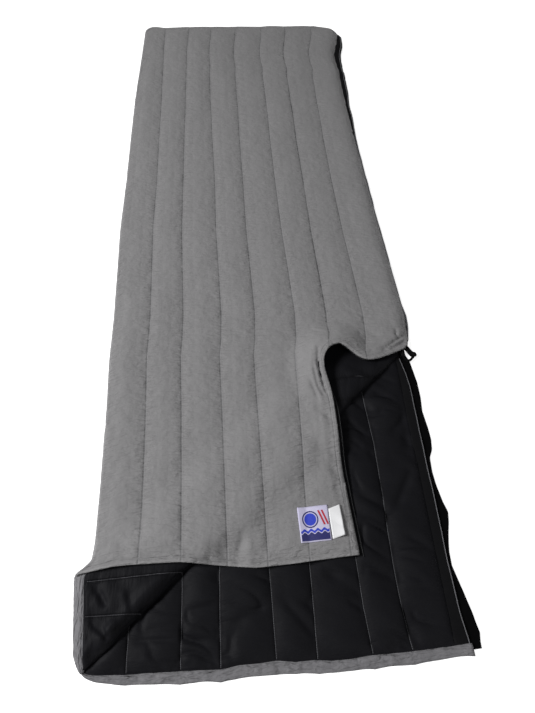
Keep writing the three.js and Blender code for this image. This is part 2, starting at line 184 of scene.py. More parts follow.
# The zip on the lower layer: place along, tape's inner edge, coil, flap's outer edge.
ZIP_BELOW = (
    (0, 751, 772, 796), (22, 751, 772, 798), (40, 749, 770, 801), (59, 748, 768, 797),
    (78, 748, 766, 794), (97, 748, 765, 790), (137, 748, 764, 780), (170, 748, 763, 772),
    (199, 748, 763, 773), (220, 748, 763, 777), (241, 748, 764, 782), (263, 748, 764, 788),
    (285, 748, 764, 791), (308, 748, 764, 784), (340, 748, 764, 778), (380, 748, 763, 775),
    (415, 748, 763, 777), (435, 748, 763, 786), (460, 748, 763, 790), (495, 748, 763, 788),
    (535, 748, 763, 783), (575, 748, 763, 787), (605, 748, 763, 787), (620, 748, 762, 787),
    (640, 748, 760, 784), (655, 748, 757, 782), (681, 746, 752, 779), (700, 744, 749, 771),
    (760, 742, 748, 769),
)

# How far the closed zip shows beyond the upper layer's right edge: place along, distance.
CLOSED_LEAN = (
    (744, 3), (787, 7), (828, 7), (869, 3), (1000, 2), (1047, 3), (1144, 5), (1195, 3), (1500, 5),
    (1600, 7), (1760, 13), (1806, 16), (1868, 20), (1944, 21), (1983, 15), (2023, 23), (2106, 25),
    (2148, 27), (2192, 21), (2228, 17), (2246, 4),
)

# Soft creases: places across and along of one end and of the other, depth in the middle
# (negative for a ridge), half width.
CREASES_ABOVE = (
    (525, 700, 520, 652, 3.8, 3.6), (520, 662, 525, 622, 5.8, 3.6),
    (524, 630, 530, 600, 4.4, 3.2), (528, 606, 537, 572, 3.6, 3.2), (509, 655, 515, 596, 2.8, 4),
    (515, 598, 529, 570, 2.5, 4), (499, 615, 514, 560, 2.4, 4.5), (504, 540, 538, 512, 2.6, 6),
    (728, 724, 768, 753, 5, 4.4), (728, 709, 768, 736, 4, 4), (752, 770, 747, 752, 4.6, 4),
    (747, 756, 754, 743, 3.6, 4), (700, 700, 728, 722, 3, 6), (300, 188, 318, 258, 3.2, 8),
    (330, 186, 332, 240, -2, 8), (284, 194, 262, 246, 2.2, 9), (245, 198, 250, 250, 1.6, 8),
    (640, 800, 700, 740, 1.1, 7), (610, 860, 668, 790, 0.9, 7), (505, 560, 545, 500, 2, 10),
    (480, 470, 540, 430, 1.8, 10), (520, 400, 552, 372, 2.2, 8), (500, 330, 548, 350, 1.8, 9),
    (400, 290, 462, 318, 1.8, 8),
)
CREASES_BELOW = (
    (590, 575, 655, 540, 3.5, 8), (580, 522, 606, 494, 3.4, 7), (606, 494, 628, 476, 3, 7),
    (585, 464, 612, 448, 3, 6), (668, 590, 720, 560, 3, 9), (690, 480, 735, 520, 3, 10),
    (670, 300, 720, 380, 3.5, 11), (680, 240, 740, 200, 3, 10), (590, 330, 640, 300, 2.5, 9),
    (590, 170, 650, 150, 2.5, 10), (400, 120, 450, 60, 2.5, 9), (300, 90, 360, 110, 2.5, 10),
    (196, 60, 262, 58, 3, 8), (200, 110, 262, 122, 2.5, 9), (95, 64, 171, 62, 3, 7),
    (110, 78, 182, 88, 2, 8),
)
CREASES_TUCK = (
    (12, 170, 28, 148, 7.5, 6), (27, 149, 39, 128, 7.5, 6), (82, 150, 92, 118, 3, 7),
    (72, 152, 82, 118, -2.5, 6), (14, 103, 37, 84, 7, 5.5), (36, 85, 48, 72, 6, 5.5),
    (60, 100, 44, 78, -3, 8), (30, 70, 12, 38, 3.5, 8), (600, 660, 650, 640, 2.5, 9),
)


def column(table: Table, at: Array, number: int = 1) -> Array:
    """Read one column of a table by straight lines between its rows.

    Args:
        table: Rows of numbers, in order of the first.
        at: Places in the first column.
        number: Number of the column to read.

    Returns:
        The value at each place.
    """
    rows = np.asarray(table, float)
    return np.interp(at, rows[:, 0], rows[:, number])


def smooth(at: Array, start: float, end: float) -> Array:
    """Rise smoothly from 0 at start to 1 at end."""
    t = np.clip((np.asarray(at, float) - start) / (end - start), 0.0, 1.0)
    return t * t * (3.0 - 2.0 * t)


def noise(u: Array, v: Array, seed: float) -> Array:
    """Make smooth noise from -1 to 1, with cells one unit wide.

    Args:
        u: Places across, in cells.
        v: Places along, in cells.
        seed: Number that tells one noise from another.

    Returns:
        The noise at each place.
    """
    i, j = np.floor(u), np.floor(v)
    a, b = u - i, v - j
    a, b = a * a * (3 - 2 * a), b * b * (3 - 2 * b)

    def lattice(p: Array, q: Array) -> Array:
        """Give a lattice point its number from -1 to 1."""
        wave = np.sin(p * 127.1 + q * 311.7 + seed * 74.7) * 43758.5453
        return 2.0 * (wave - np.floor(wave)) - 1.0

    near = lattice(i, j) * (1 - a) + lattice(i + 1, j) * a
    far = lattice(i, j + 1) * (1 - a) + lattice(i + 1, j + 1) * a
    return near * (1 - b) + far * b


def spline(points: Table, steps: int) -> Array:
    """Draw a smooth line through points of any dimension.

    Args:
        points: The points that the line passes through.
        steps: Number of straight steps for the whole line.

    Returns:
        The line's points, one more than the steps.
    """
    p = np.asarray(points, float)
    p = np.vstack([2 * p[0] - p[1], p, 2 * p[-1] - p[-2]])
    at = np.linspace(0, len(points) - 1, steps + 1)
    i = np.minimum(at.astype(int), len(points) - 2)
    t = (at - i)[:, None]
    a, b, c, d = p[i], p[i + 1], p[i + 2], p[i + 3]
    bends = (2 * a - 5 * b + 4 * c - d) * t**2 + (3 * b - a - 3 * c + d) * t**3
    return 0.5 * (2 * b + (c - a) * t + bends)


def metres(points: Array) -> Array:
    """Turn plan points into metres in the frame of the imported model.

    Args:
        points: Plan points.

    Returns:
        The same points in metres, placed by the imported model's patch.
    """
    low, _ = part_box("label_patch")
    shift = (low.x - PATCH_CORNER[0] * MM, low.y - PATCH_CORNER[1] * MM, 0.0)
    return np.asarray(points, float) * MM + np.array(shift)


EDGE_LINE = spline(OPEN_EDGE, 120)


def edge_reading(x: Array, y: Array) -> Pair:
    """Measure places against the upper layer's open edge.

    Args:
        x: Places across.
        y: Places along.

    Returns:
        The distance to the edge, and a smooth mean of the edge's heights weighted by
        nearness.
    """
    points = np.stack([x.ravel(), y.ravel()], 1)
    gap = np.linalg.norm(points[:, None, :] - EDGE_LINE[None, :, :2], axis=2)
    weight = 1.0 / (gap**2 + 30.0) ** 2
    height = (weight * EDGE_LINE[None, :, 2]).sum(1) / weight.sum(1)
    return gap.min(1).reshape(x.shape), height.reshape(x.shape)


def inside_open_corner(x: Array, y: Array) -> Array:
    """Say which places the upper layer leaves uncovered at its near right corner.

    Args:
        x: Places across.
        y: Places along.

    Returns:
        True where a place lies uncovered.
    """
    beyond, nearer = 960.0, 100.0
    closed = EDGE_LINE[-1, 1] + 6.0
    start = [EDGE_LINE[0, 0] + 1.0, nearer]
    outline = np.vstack([start, EDGE_LINE[:, :2], [beyond, closed], [beyond, nearer]])
    inside = np.zeros(x.shape, bool)
    before = outline[-1]
    for here in outline:
        crosses = (here[1] > y) != (before[1] > y)
        rise = before[1] - here[1] if before[1] != here[1] else 1e-9
        at = here[0] + (before[0] - here[0]) * (y - here[1]) / rise
        inside ^= crosses & (x < at)
        before = here
    return inside


def creased(table: Table, x: Array, y: Array) -> Array:
    """Work out how far creases lower the cloth.

    Args:
        table: The creases.
        x: Places across.
        y: Places along.

    Returns:
        The drop at each place.
    """
    total = 0 * x
    for ax, ay, bx, by, depth, width in table:
        dx, dy = bx - ax, by - ay
        run = math.hypot(dx, dy)
        t = ((x - ax) * dx + (y - ay) * dy) / run**2
        across = ((x - ax) * dy - (y - ay) * dx) / run
        ends = smooth(t, -0.25, 0.25) * (1 - smooth(t, 0.75, 1.25))
        total = total + depth * ends * np.exp(-((across / width) ** 2))
    return total


def move(bm: bmesh.types.BMesh, points: Array) -> None:
    """Move every vertex of a mesh to its point."""
    for vert, point in zip(bm.verts, points):
        vert.co = point


def link_mesh(name: str, bm: bmesh.types.BMesh, *materials: Material) -> Piece:
    """Turn an edited mesh into a smooth object.

    Args:
        name: Its name.
        bm: The edited mesh, which is freed.
        materials: Its materials, in the order of its slots.

    Returns:
        The new object.
    """
    for face in bm.faces:
        face.smooth = True
    mesh = bpy.data.meshes.new(name)
    bm.to_mesh(mesh)
    bm.free()
    for material in materials:
        mesh.materials.append(material)
    piece = bpy.data.objects.new(name, mesh)
    bpy.context.scene.collection.objects.link(piece)
    return piece


def pillow(across: Array, seams: Sequence[float], fullness: float = 0.85) -> Triple:
    """Read where places lie in the channels between seams.

    Args:
        across: Places across the seams.
        seams: The seams' places.
        fullness: Low for a channel that is full right up to its seams.

    Returns:
        The share of full loft, the distance to the nearest seam, and the channel's number.
    """
    edges = np.asarray(seams, float)
    i = np.clip(np.searchsorted(edges, across, side="right") - 1, 0, len(edges) - 2)
    f = np.clip((across - edges[i]) / (edges[i + 1] - edges[i]), 0.0, 1.0)
    away = np.minimum(f, 1 - f) * (edges[i + 1] - edges[i])
    return (4 * f * (1 - f)) ** fullness, away, i


@dataclass(frozen=True)
class Puckers:
    """The small cross folds that sewing draws into a quilted channel.

    Attributes:
        seed: Number that tells one face from another.
        fine: Height of the folds 10 mm apart.
        broad: Height of the folds 25 mm apart.
        dents: Height of the hollows 70 mm wide.
        crease: Depth of the narrow wandering creases.
        bow: How far a fold bends back from one seam to the next.
    """

    seed: float
    fine: float = 0.85
    broad: float = 0.9
    dents: float = 1.0
    crease: float = 1.0
    bow: float = 24.0

    def height(self, across: Array, along: Array, seams: Sequence[float]) -> Array:
        """Work out the folds' heights.

        Args:
            across: Places across the seams.
            along: Places along the seams.
            seams: The seams' places.

        Returns:
            Heights in millimetres.
        """
        edges = np.asarray(seams, float)
        _, away, channel = pillow(across, seams)
        f = (across - edges[channel]) / (edges[channel + 1] - edges[channel])
        bent = along + self.bow * f * f + 10.0 * noise(across / 70, along / 120, self.seed + 5)
        own = channel * 3.7
        patches = 0.65 + 0.6 * noise(across / 75 + own, along / 95, self.seed + 6)
        near = np.exp(-away / 16.0)
        fine = noise(across / 44 + own, bent / 9.6, self.seed) * (0.6 + 0.7 * near)
        broad = noise(across / 52 + own, bent / 23.0, self.seed + 1) * (0.8 + 0.4 * near)
        dents = noise(across / 58, along / 78, self.seed + 2)
        line = noise(across / 64 + own, bent / 30.0, self.seed + 3)
        here = np.clip(0.2 + 1.5 * noise(across / 46, along / 52 + own, self.seed + 4), 0, 1)
        crease = np.exp(-((line / 0.17) ** 2)) * here
        folds = patches * (self.fine * fine + self.broad * broad)
        return folds + self.dents * dents - self.crease * crease


class ClothMesh:
    """A closed piece of cloth made from a grid of places, then given its thickness."""

    def __init__(self, name: str, across: Array, along: Array) -> None:
        """Start the grid.

        Args:
            name: Name of the piece.
            across: The columns' places across the cloth.
            along: The rows' places along the cloth.
        """
        self.name = name
        self.bm = bmesh.new()
        columns, rows = len(across) - 1, len(along) - 1
        bmesh.ops.create_grid(self.bm, x_segments=columns, y_segments=rows, size=0.5)
        self.bm.verts.ensure_lookup_table()
        flat = np.array([v.co[:] for v in self.bm.verts])
        _, i = np.unique(np.round(flat[:, 0], 7), return_inverse=True)
        _, j = np.unique(np.round(flat[:, 1], 7), return_inverse=True)
        self.cell = self.bm.verts.layers.float_vector.new("cell")
        self.across = np.asarray(across, float)[i]
        self.along = np.asarray(along, float)[j]
        self._remember()

    def _remember(self) -> None:
        """Keep each vertex's place in the cloth on the vertex."""
        for vert, u, v in zip(self.bm.verts, self.across, self.along):
            vert[self.cell] = (u, v, 0.0)

    def place(self, points: Array) -> None:
        """Move every vertex to its plan point."""
        move(self.bm, points)

    def cut(self, gone: Array) -> None:
        """Delete some of the vertices.

        Args:
            gone: True for each vertex to delete.
        """
        verts = [vert for vert, out in zip(self.bm.verts, gone) if out]
        bmesh.ops.delete(self.bm, geom=verts, context="VERTS")
        self.read_back()

    def read_back(self) -> None:
        """Read the places in the cloth again after a change of vertices."""
        self.bm.verts.ensure_lookup_table()
        cells = np.array([vert[self.cell][:] for vert in self.bm.verts])
        self.across, self.along = cells[:, 0], cells[:, 1]

    def points(self) -> Array:
        """Give every vertex's plan point."""
        return np.array([vert.co[:] for vert in self.bm.verts])

    def thicken(self, upper: Array, lower: Array) -> None:
        """Give the sheet its thickness along its own normals.

        Args:
            upper: Distance from the middle to the upper face at each vertex.
            lower: Distance to the lower face.
        """
        self.bm.normal_update()
        rise = self.bm.verts.layers.float_vector.new("rise")
        fall = self.bm.verts.layers.float_vector.new("fall")
        for vert, up, down in zip(self.bm.verts, upper, lower):
            vert[rise] = vert.normal * up
            vert[fall] = vert.normal * -down
        sheet = self.bm.faces[:]
        grown = bmesh.ops.extrude_face_region(self.bm, geom=sheet, use_keep_orig=True)
        raised = {item for item in grown["geom"] if isinstance(item, bmesh.types.BMVert)}
        for vert in self.bm.verts:
            is_raised = vert in raised
            u, v, _ = vert[self.cell]
            vert[self.cell] = (u, v, float(is_raised))
            vert.co += vert[rise] if is_raised else vert[fall]
        for name in ("rise", "fall"):
            self.bm.verts.layers.float_vector.remove(self.bm.verts.layers.float_vector[name])
        self.cell = self.bm.verts.layers.float_vector["cell"]
        bmesh.ops.recalc_face_normals(self.bm, faces=self.bm.faces[:])

    def finish(
        self,
        materials: Sequence[Material],
        choose: Callable[[Array, Array, Array], Array] = lambda u, v, side: 0 * u,
        measure: Callable[[Array, Array, Array], Pair] = lambda u, v, at: (NO_SEAM + 0 * u,) * 2,
        lay: Callable[[Array, Array], Pair] = lambda u, v: (u, v),
    ) -> Piece:
        """Turn the grid into an object with materials, a UV map and a seam attribute.

        Args:
            materials: The piece's materials.
            choose: Gives a material number from a face's place across, along and side.
            measure: Gives the distances to the nearest seam and hem from places across and
                along the cloth and plan points. Unless given, no seam is near.
            lay: Gives the cloth map's place from places across and along.

        Returns:
            The finished object.
        """
        self.cell = self.bm.verts.layers.float_vector["cell"]
        uv = self.bm.loops.layers.uv.new("cloth")
        places = np.array([vert[self.cell][:] for vert in self.bm.verts])
        map_x, map_y = lay(places[:, 0], places[:, 1])
        self.bm.verts.index_update()
        middles = []
        for face in self.bm.faces:
            total = Vector((0, 0, 0))
            for loop in face.loops:
                k = loop.vert.index
                loop[uv].uv = (map_x[k] * MM, map_y[k] * MM)
                total += Vector(places[k])
            middles.append(total / len(face.loops))
        where = np.array([m[:] for m in middles])
        for face, number in zip(self.bm.faces, choose(where[:, 0], where[:, 1], where[:, 2])):
            face.material_index = int(number)
        at = self.points()
        at[:, 2] = np.maximum(at[:, 2], FLOOR_CLEARANCE)
        move(self.bm, metres(at))
        piece = link_mesh(self.name, self.bm, *materials)
        mesh = piece.data
        mesh.attributes.remove(mesh.attributes["cell"])
        readings = measure(places[:, 0], places[:, 1], at)
        for name, values in zip(("seam_mm", "edge_mm"), readings):
            layer = mesh.attributes.new(name, "FLOAT", "POINT")
            layer.data.foreach_set("value", np.asarray(values, np.float32))
        return piece


def channel_columns(seams: Sequence[float], steps: Sequence[int]) -> Array:
    """Space columns evenly in each channel, with one on every seam."""
    parts = [np.linspace(*ends, endpoint=False) for ends in zip(seams, seams[1:], steps)]
    return np.append(np.concatenate(parts), seams[-1])


def stations(*stretches: tuple[float, float, float]) -> Array:
    """Space rows along the liner.

    Args:
        stretches: Each gives a start, an end and the step between them.

    Returns:
        The rows' places.
    """
    parts = []
    for start, end, step in stretches:
        parts.append(np.linspace(start, end, max(2, round((end - start) / step)), endpoint=False))
    return np.append(np.concatenate(parts), stretches[-1][1])


def sway(table: Table, seams: Sequence[float], u: Array, y: Array) -> Array:
    """Say how far the cloth wanders sideways with its seams.

    Args:
        table: Each seam's drift, one row for each place along.
        seams: The seams' places, with the two ends that don't drift.
        u: Places across the cloth.
        y: Places along the liner.

    Returns:
        The drift at each place.
    """
    edges = np.asarray(seams, float)
    drift = [column(table, y, k) for k in range(1, len(table[0]))]
    drift = np.stack([0 * y, *drift, 0 * y], 1)
    i = np.clip(np.searchsorted(edges, u, side="right") - 1, 0, len(edges) - 2)
    f = np.clip((u - edges[i]) / (edges[i + 1] - edges[i]), 0, 1)
    rows = np.arange(len(u))
    return drift[rows, i] * (1 - f) + drift[rows, i + 1] * f


def corner_drop(from_side: Array, radius: float) -> Array:
    """Say how far a rounded corner draws the far hem back near the side."""
    inside = np.clip(from_side, 0.0, radius)
    return radius - np.sqrt(radius**2 - (radius - inside) ** 2)


ABOVE = LOFT * 1.5 + LAYER_GAP  # middle of the upper layer where it lies on the lower one
TUCKED = 2 * (LOFT * 0.8 + LAYER_GAP)  # what the tuck's two layers add to that


def pressed(y: Array) -> Array:
    """Say how much of its height the tuck keeps along the liner, past its open end."""
    return 1 - 0.5 * smooth(y, 205, 320)


@dataclass
class UpperLayer:
    """The layer that shows its grey shell, with the fold that joins it to the lower one.

    Attributes:
        fold: How much cloth lies round the left fold.
        reach_under: How far it reaches back under itself past the fold.
        low: Height of its middle there.
        folds: Its puckers.
        creases: Its creases, most of them at the open corner.
    """

    fold: float = 20.0
    reach_under: float = 24.0
    low: float = 5.0
    folds: Puckers = Puckers(3.0, fine=0.75, broad=1.0, dents=0.7, crease=1.0)
    creases: Table = CREASES_ABOVE

    @staticmethod
    def flare(y: Array) -> Array:
        """Say how far the left fold runs out to the tuck's own hem near the near hem."""
        return 31.0 * (1 - smooth(y, 183, 217))

    def height(self, x: Array, y: Array) -> Array:
        """Give the height of the layer's middle, without its fine folds.

        Args:
            x: Places across.
            y: Places along.

        Returns:
            Heights above the surface.
        """
        diagonal = column(DIAGONAL, y)
        rise = smooth(x, diagonal - TUCK - 50, diagonal - TUCK + 70)
        rise = np.maximum(rise, 1 - smooth(y, 204, 275))
        fall = 1 - smooth(x, diagonal - 12, diagonal + 80)
        base = ABOVE + TUCKED * pressed(y) * rise * fall * (1 - smooth(y, 660, 850))
        base = base - 7.0 * (1 - smooth(x, -24, 50)) * (1 - smooth(y, 200, 250))
        gap, edge = edge_reading(x, y)
        lift = edge - ABOVE
        held = 1 - smooth(gap / (48 + 1.5 * np.abs(lift)), 0.0, 1.0)
        height = base + (edge - base) * held
        height = np.maximum(height, ABOVE)
        right = column(SIDES, y, 2)
        droop = smooth(x, right - 40, right + 2) ** 1.4 * smooth(y, 700, 760)
        return height + (8.0 - height) * droop

    def surface(self, u: Array, v: Array) -> Array:
        """Take places in the cloth to plan points on the layer's middle.

        Args:
            u: Distance across the cloth from the fold, below zero round the fold.
            v: Distance along it.

        Returns:
            Plan points.
        """
        near = column(HEM_ABOVE, np.clip(u, SEAMS_ABOVE[0], None))
        width = SEAMS_ABOVE[-1]
        far = column(HEM_FAR, u) + 2.2 * pillow(u, SEAMS_ABOVE)[0]
        far = far - corner_drop(u + 10, CORNER_LEFT) - corner_drop(width - u, CORNER_RIGHT)
        y = near + (v - HEM_BACK) * (far - near) / (LENGTH - HEM_BACK)
        straight = column(SIDES, y)
        left = straight - self.flare(y)
        right = column(SIDES, y, 2)
        low = self.low + 19.0 * (1 - smooth(y, 200, 250))
        top = self.height(left + 10, y)
        radius = (top - low) / 2
        swayed = np.clip(u, 0, None) + sway(SEAM_SWAY, (0.0, *SEAMS_ABOVE[1:]), u, y)
        across = straight + (right - straight) * swayed / width
        across = across + (radius - self.flare(y)) * (1 - smooth(u, -6, 84))
        z = self.height(across, y)
        angle = math.pi * np.clip(1 + u / self.fold, 0, 1)
        bend = u < 0
        x = np.where(bend, left + radius * (1 - np.sin(angle)), np.maximum(across, left))
        z = np.where(bend, low + radius * (1 - np.cos(angle)), z)
        under = u < -self.fold
        x = np.where(under, left + radius - u - self.fold, x)
        z = np.where(under, low, z)
        return np.stack([x, y, z], 1)

    def loft(self, u: Array, v: Array, points: Array) -> Pair:
        """Work out the cloth's thickness.

        Args:
            u: Distance across the cloth from the fold.
            v: Distance along it.
            points: Plan points on the layer's middle.

        Returns:
            The distances from the middle to the upper face and to the lower one.
        """
        share, away, _ = pillow(u, SEAMS_ABOVE, 1.0)
        first = SEAMS_ABOVE[0]
        below = np.clip((first - u) / 90.0, 0, 1)
        share = np.where(u < first, (4 * below * (1 - below)) ** 0.55, share)
        gap, _ = edge_reading(points[:, 0], points[:, 1])
        from_hem = np.minimum(v - HEM_BACK, LENGTH - v)
        ends = smooth(from_hem, HEM_STITCH - 1, 40) * smooth(gap, 8, 34)
        hem = HEM_THICKNESS / 2
        half = SEAM_THICKNESS / 2 + (LOFT - SEAM_THICKNESS) / 2 * share
        half = hem + (half - hem) * ends
        stitch = np.exp(-(((from_hem - HEM_STITCH) / 2.6) ** 2)) * (v < 1000)
        folds = self.folds.height(u, v, SEAMS_ABOVE) * (0.4 + 0.6 * ends)
        trough = creased(self.creases, points[:, 0], points[:, 1])
        full = 0.68 * (half - hem) * ends - 0.8 * np.exp(-away / 7.0) * ends
        upper = half + full * (u > 0) + folds * np.where(u < 0, 0.35, 1.0) - 0.9 * stitch
        return np.maximum(upper - trough, -3.0), half * 0.96

    def build(self, cloth: Cloth) -> Piece:
        """Build the layer.

        Args:
            cloth: The liner's cloths.

        Returns:
            The finished layer.
        """
        round_fold = np.linspace(-self.fold, 0, 13)[:-1]
        across = np.concatenate([
            [-self.fold - self.reach_under, -self.fold - 8],
            round_fold,
            channel_columns((0.0, *SEAMS_ABOVE[1:]), (17, 17, 17, 17, 18, 40, 18, 34)),
        ])
        # Rows lie closest at the near hem, and where the arch shows.
        near = ((HEM_BACK, 204, 3), (204, 560, 5.2), (560, 800, 3.1), (800, 1000, 5.2))
        along = stations(*near, (1000, LENGTH - 20, 13), (LENGTH - 20, LENGTH, 4))
        sheet = ClothMesh("quilt_upper", across, along)
        points = self.surface(sheet.across, sheet.along)
        sheet.place(points)
        sheet.cut(inside_open_corner(points[:, 0], points[:, 1]))
        self._fit_to_edge(sheet)
        points = sheet.points()
        undulate = 2.4 * noise(points[:, 0] / 210, points[:, 1] / 260, 8.0)
        undulate += 1.2 * noise(points[:, 0] / 90, points[:, 1] / 120, 9.0)
        gap, _ = edge_reading(points[:, 0], points[:, 1])
        calm = smooth(gap, 10, 60) * smooth(sheet.across, -5, 40)
        calm = calm * (1 - smooth(points[:, 0], 730, 770))
        points[:, 2] += np.maximum(undulate, -1.2) * calm
        sheet.place(points)
        sheet.thicken(*self.loft(sheet.across, sheet.along, points))

        def choose(u: Array, v: Array, side: Array) -> Array:
            """Give the shell above, and below it the lining past the hem's own facing."""
            in_hem = v < HEM_BACK + HEM_STITCH
            return np.where((side > 0.25) | in_hem, Side.SHELL.value, Side.LINING.value)

        def measure(u: Array, v: Array, at: Array) -> Pair:
            """Measure to the sewn lines.

            Args:
                u: Places across the cloth.
                v: Places along it.
                at: Plan points.

            Returns:
                The distances to the nearest seam and to the nearest hem.
            """
            seam = np.where(u < 0, np.abs(u - SEAMS_ABOVE[0]), pillow(u, SEAMS_ABOVE)[1])
            from_open = np.where(u < 20, 200.0, edge_reading(at[:, 0], at[:, 1])[0])
            return seam, np.minimum(np.minimum(v - HEM_BACK, LENGTH - v), from_open)

        return sheet.finish(cloth.slots, choose, measure)

    @staticmethod
    def _fit_to_edge(sheet: ClothMesh) -> None:
        """Move the vertices along the cut on to the open edge's line.

        Args:
            sheet: The layer's cloth, before it has its thickness.
        """
        rim = {vert for edge in sheet.bm.edges if edge.is_boundary for vert in edge.verts}
        line = EDGE_LINE[:, :2]
        starts, runs = line[:-1], np.diff(line, axis=0)
        fitted = set()
        for vert in rim:
            here = np.array(vert.co[:2])
            away = np.linalg.norm(line - here, axis=1)
            k = int(away.argmin())
            if away[k] > 11 or k in (0, len(line) - 1):
                continue
            start, run = starts[k - 1 : k + 1], runs[k - 1 : k + 1]
            t = np.clip(((here - start) * run).sum(1) / (run * run).sum(1), 0, 1)
            spots = start + t[:, None] * run
            vert.co.x, vert.co.y = spots[np.linalg.norm(spots - here, axis=1).argmin()]
            fitted.add(vert)
        near = {other for vert in fitted for edge in vert.link_edges for other in edge.verts} - rim
        flat = {"use_axis_x": True, "use_axis_y": True, "use_axis_z": False}
        for _ in range(3):
            bmesh.ops.smooth_vert(sheet.bm, verts=list(near), factor=0.5, **flat)


@dataclass
class LowerLayer:
    """The layer that lies on the surface with its lining up.

    Attributes:
        folds: Its puckers.
        loft: Its thickness in the middle of a channel where nothing lies on it.
        creases: Its creases.
    """

    folds: Puckers = Puckers(13.0, fine=0.4, broad=2.2, dents=4.6, crease=5.4, bow=30.0)
    loft: float = 13.0
    creases: Table = CREASES_BELOW

    def surface(self, u: Array, v: Array) -> Pair:
        """Take places in the cloth to plan places.

        Args:
            u: Distance across the cloth from the fold.
            v: Distance along it.

        Returns:
            Places across and along the plan.
        """
        width = SEAMS_BELOW[-1]
        near = column(HEM_BELOW, u)
        far = column(HEM_FAR, u) - 3
        far = far - corner_drop(u, CORNER_LEFT) - corner_drop(width - u, CORNER_RIGHT)
        facing = column(FACING_BELOW, u)
        inset = np.interp(v, (0, FACING, 60), (0, 1, 0)) * (facing - FACING)
        y = near + v * (far - near) / LENGTH + inset
        left = np.maximum(column(SIDES, y), -8)
        left = left + 5 * smooth(y, 30, 90) - 4 * (1 - smooth(y, 20, 60))
        swayed = u + sway(SEAM_SWAY_BELOW, SEAMS_BELOW, u, y)
        x = column(SIDES, y, 3) * swayed / width + left * (1 - smooth(u, 0, 80))
        # The hem's facing runs on over the ends of the zip.
        x = x + 33.0 * smooth(u, 655, width) * (1 - smooth(v, FACING, FACING + 3))
        return x, y

    def build(self, cloth: Cloth) -> Piece:
        """Build the layer.

        Args:
            cloth: The liner's cloths.

        Returns:
            The finished layer.
        """
        across = channel_columns(SEAMS_BELOW, (22,) * 8)
        hem = ((0, FACING, 3), (FACING, FACING + 12, 3))
        # What lies under the upper layer needs few rows.
        far = ((760, LENGTH - 20, 45), (LENGTH - 20, LENGTH, 7))
        along = stations(*hem, (FACING + 12, 760, 4.4), *far)
        sheet = ClothMesh("quilt_lower", across, along)
        x, y = self.surface(sheet.across, sheet.along)
        share, _, _ = pillow(sheet.across, SEAMS_BELOW)
        ends = smooth(np.minimum(sheet.along, LENGTH - sheet.along), FACING - 5, 48)
        covered = (y > 199) & ~inside_open_corner(x, y)
        loft = np.where(covered, LOFT, self.loft)
        top = SEAM_THICKNESS + 1 + (loft - SEAM_THICKNESS - 1) * share
        hem_ripple = 1.0 * noise(sheet.across / 12 + sheet.along / 18, sheet.along / 30, 21.0)
        hem_ripple += 0.8 * noise(sheet.across / 6, sheet.along / 11, 23.0)
        hem_top = HEM_THICKNESS + 0.8 + hem_ripple
        top = hem_top + (top - hem_top) * ends
        stitch = np.exp(-(((sheet.along - FACING) / 2.4) ** 2))
        folds = self.folds.height(sheet.across, sheet.along, SEAMS_BELOW)
        folds = folds - 1.5 * creased(self.creases, x, y)
        shows = np.where(covered, 0.3, 1.0) * (1 - smooth(y, 740, 800))
        edge = smooth(sheet.across, -1, 14) * (1 - smooth(sheet.across, 728, 744))
        over_zip = smooth(sheet.across, 700, 744) * (1 - smooth(sheet.along, FACING, FACING + 3))
        top = top + folds * ends * shows * edge - 1.6 * stitch + 4.0 * over_zip
        # The tuck's roll presses a trough beside itself.
        from_roll = x - column(DIAGONAL, y) - 2
        top = top - 5.0 * np.exp(-((from_roll / 11) ** 2)) * (y < 199) * ends
        at_side = (sheet.across > SEAMS_BELOW[-1] - 0.5) & (sheet.along > FACING + 1)
        top = np.where(at_side, 3.4, np.maximum(top, 2.4))
        wander = 1.6 * noise(sheet.across / 30, 0 * y, 22.0) - 2.2 * (1 - share)
        y = y + wander * (sheet.along < 1)
        middle = np.stack([x, y, top / 2 + 0.3], 1)
        sheet.place(middle)
        bottom = 0.25 + 1.6 * (1 - smooth(share, 0, 0.7))
        lower = np.maximum(middle[:, 2] - bottom, 0.4)
        sheet.thicken(np.maximum(top - middle[:, 2], 0.8), lower)

        def choose(u: Array, v: Array, side: Array) -> Array:
            """Choose the cloth.

            Args:
                u: Places across the cloth.
                v: Places along it.
                side: 1 above and 0 below.

            Returns:
                The lining above past the hem's facing, and the shell elsewhere.
            """
            inside = (side > 0.75) | (u > 740)
            above = np.where(v > FACING, Side.LINING.value, Side.FACING.value)
            return np.where(inside, above, Side.SHELL.value)

        def measure(u: Array, v: Array, _: Array) -> Pair:
            """Measure to the nearest seam, and to the near hem's stitch."""
            seam = np.where(v < FACING + 1, 30.0, pillow(u, SEAMS_BELOW)[1])
            return seam, v - FACING + HEM_STITCH + 2

        return sheet.finish(cloth.slots, choose, measure)


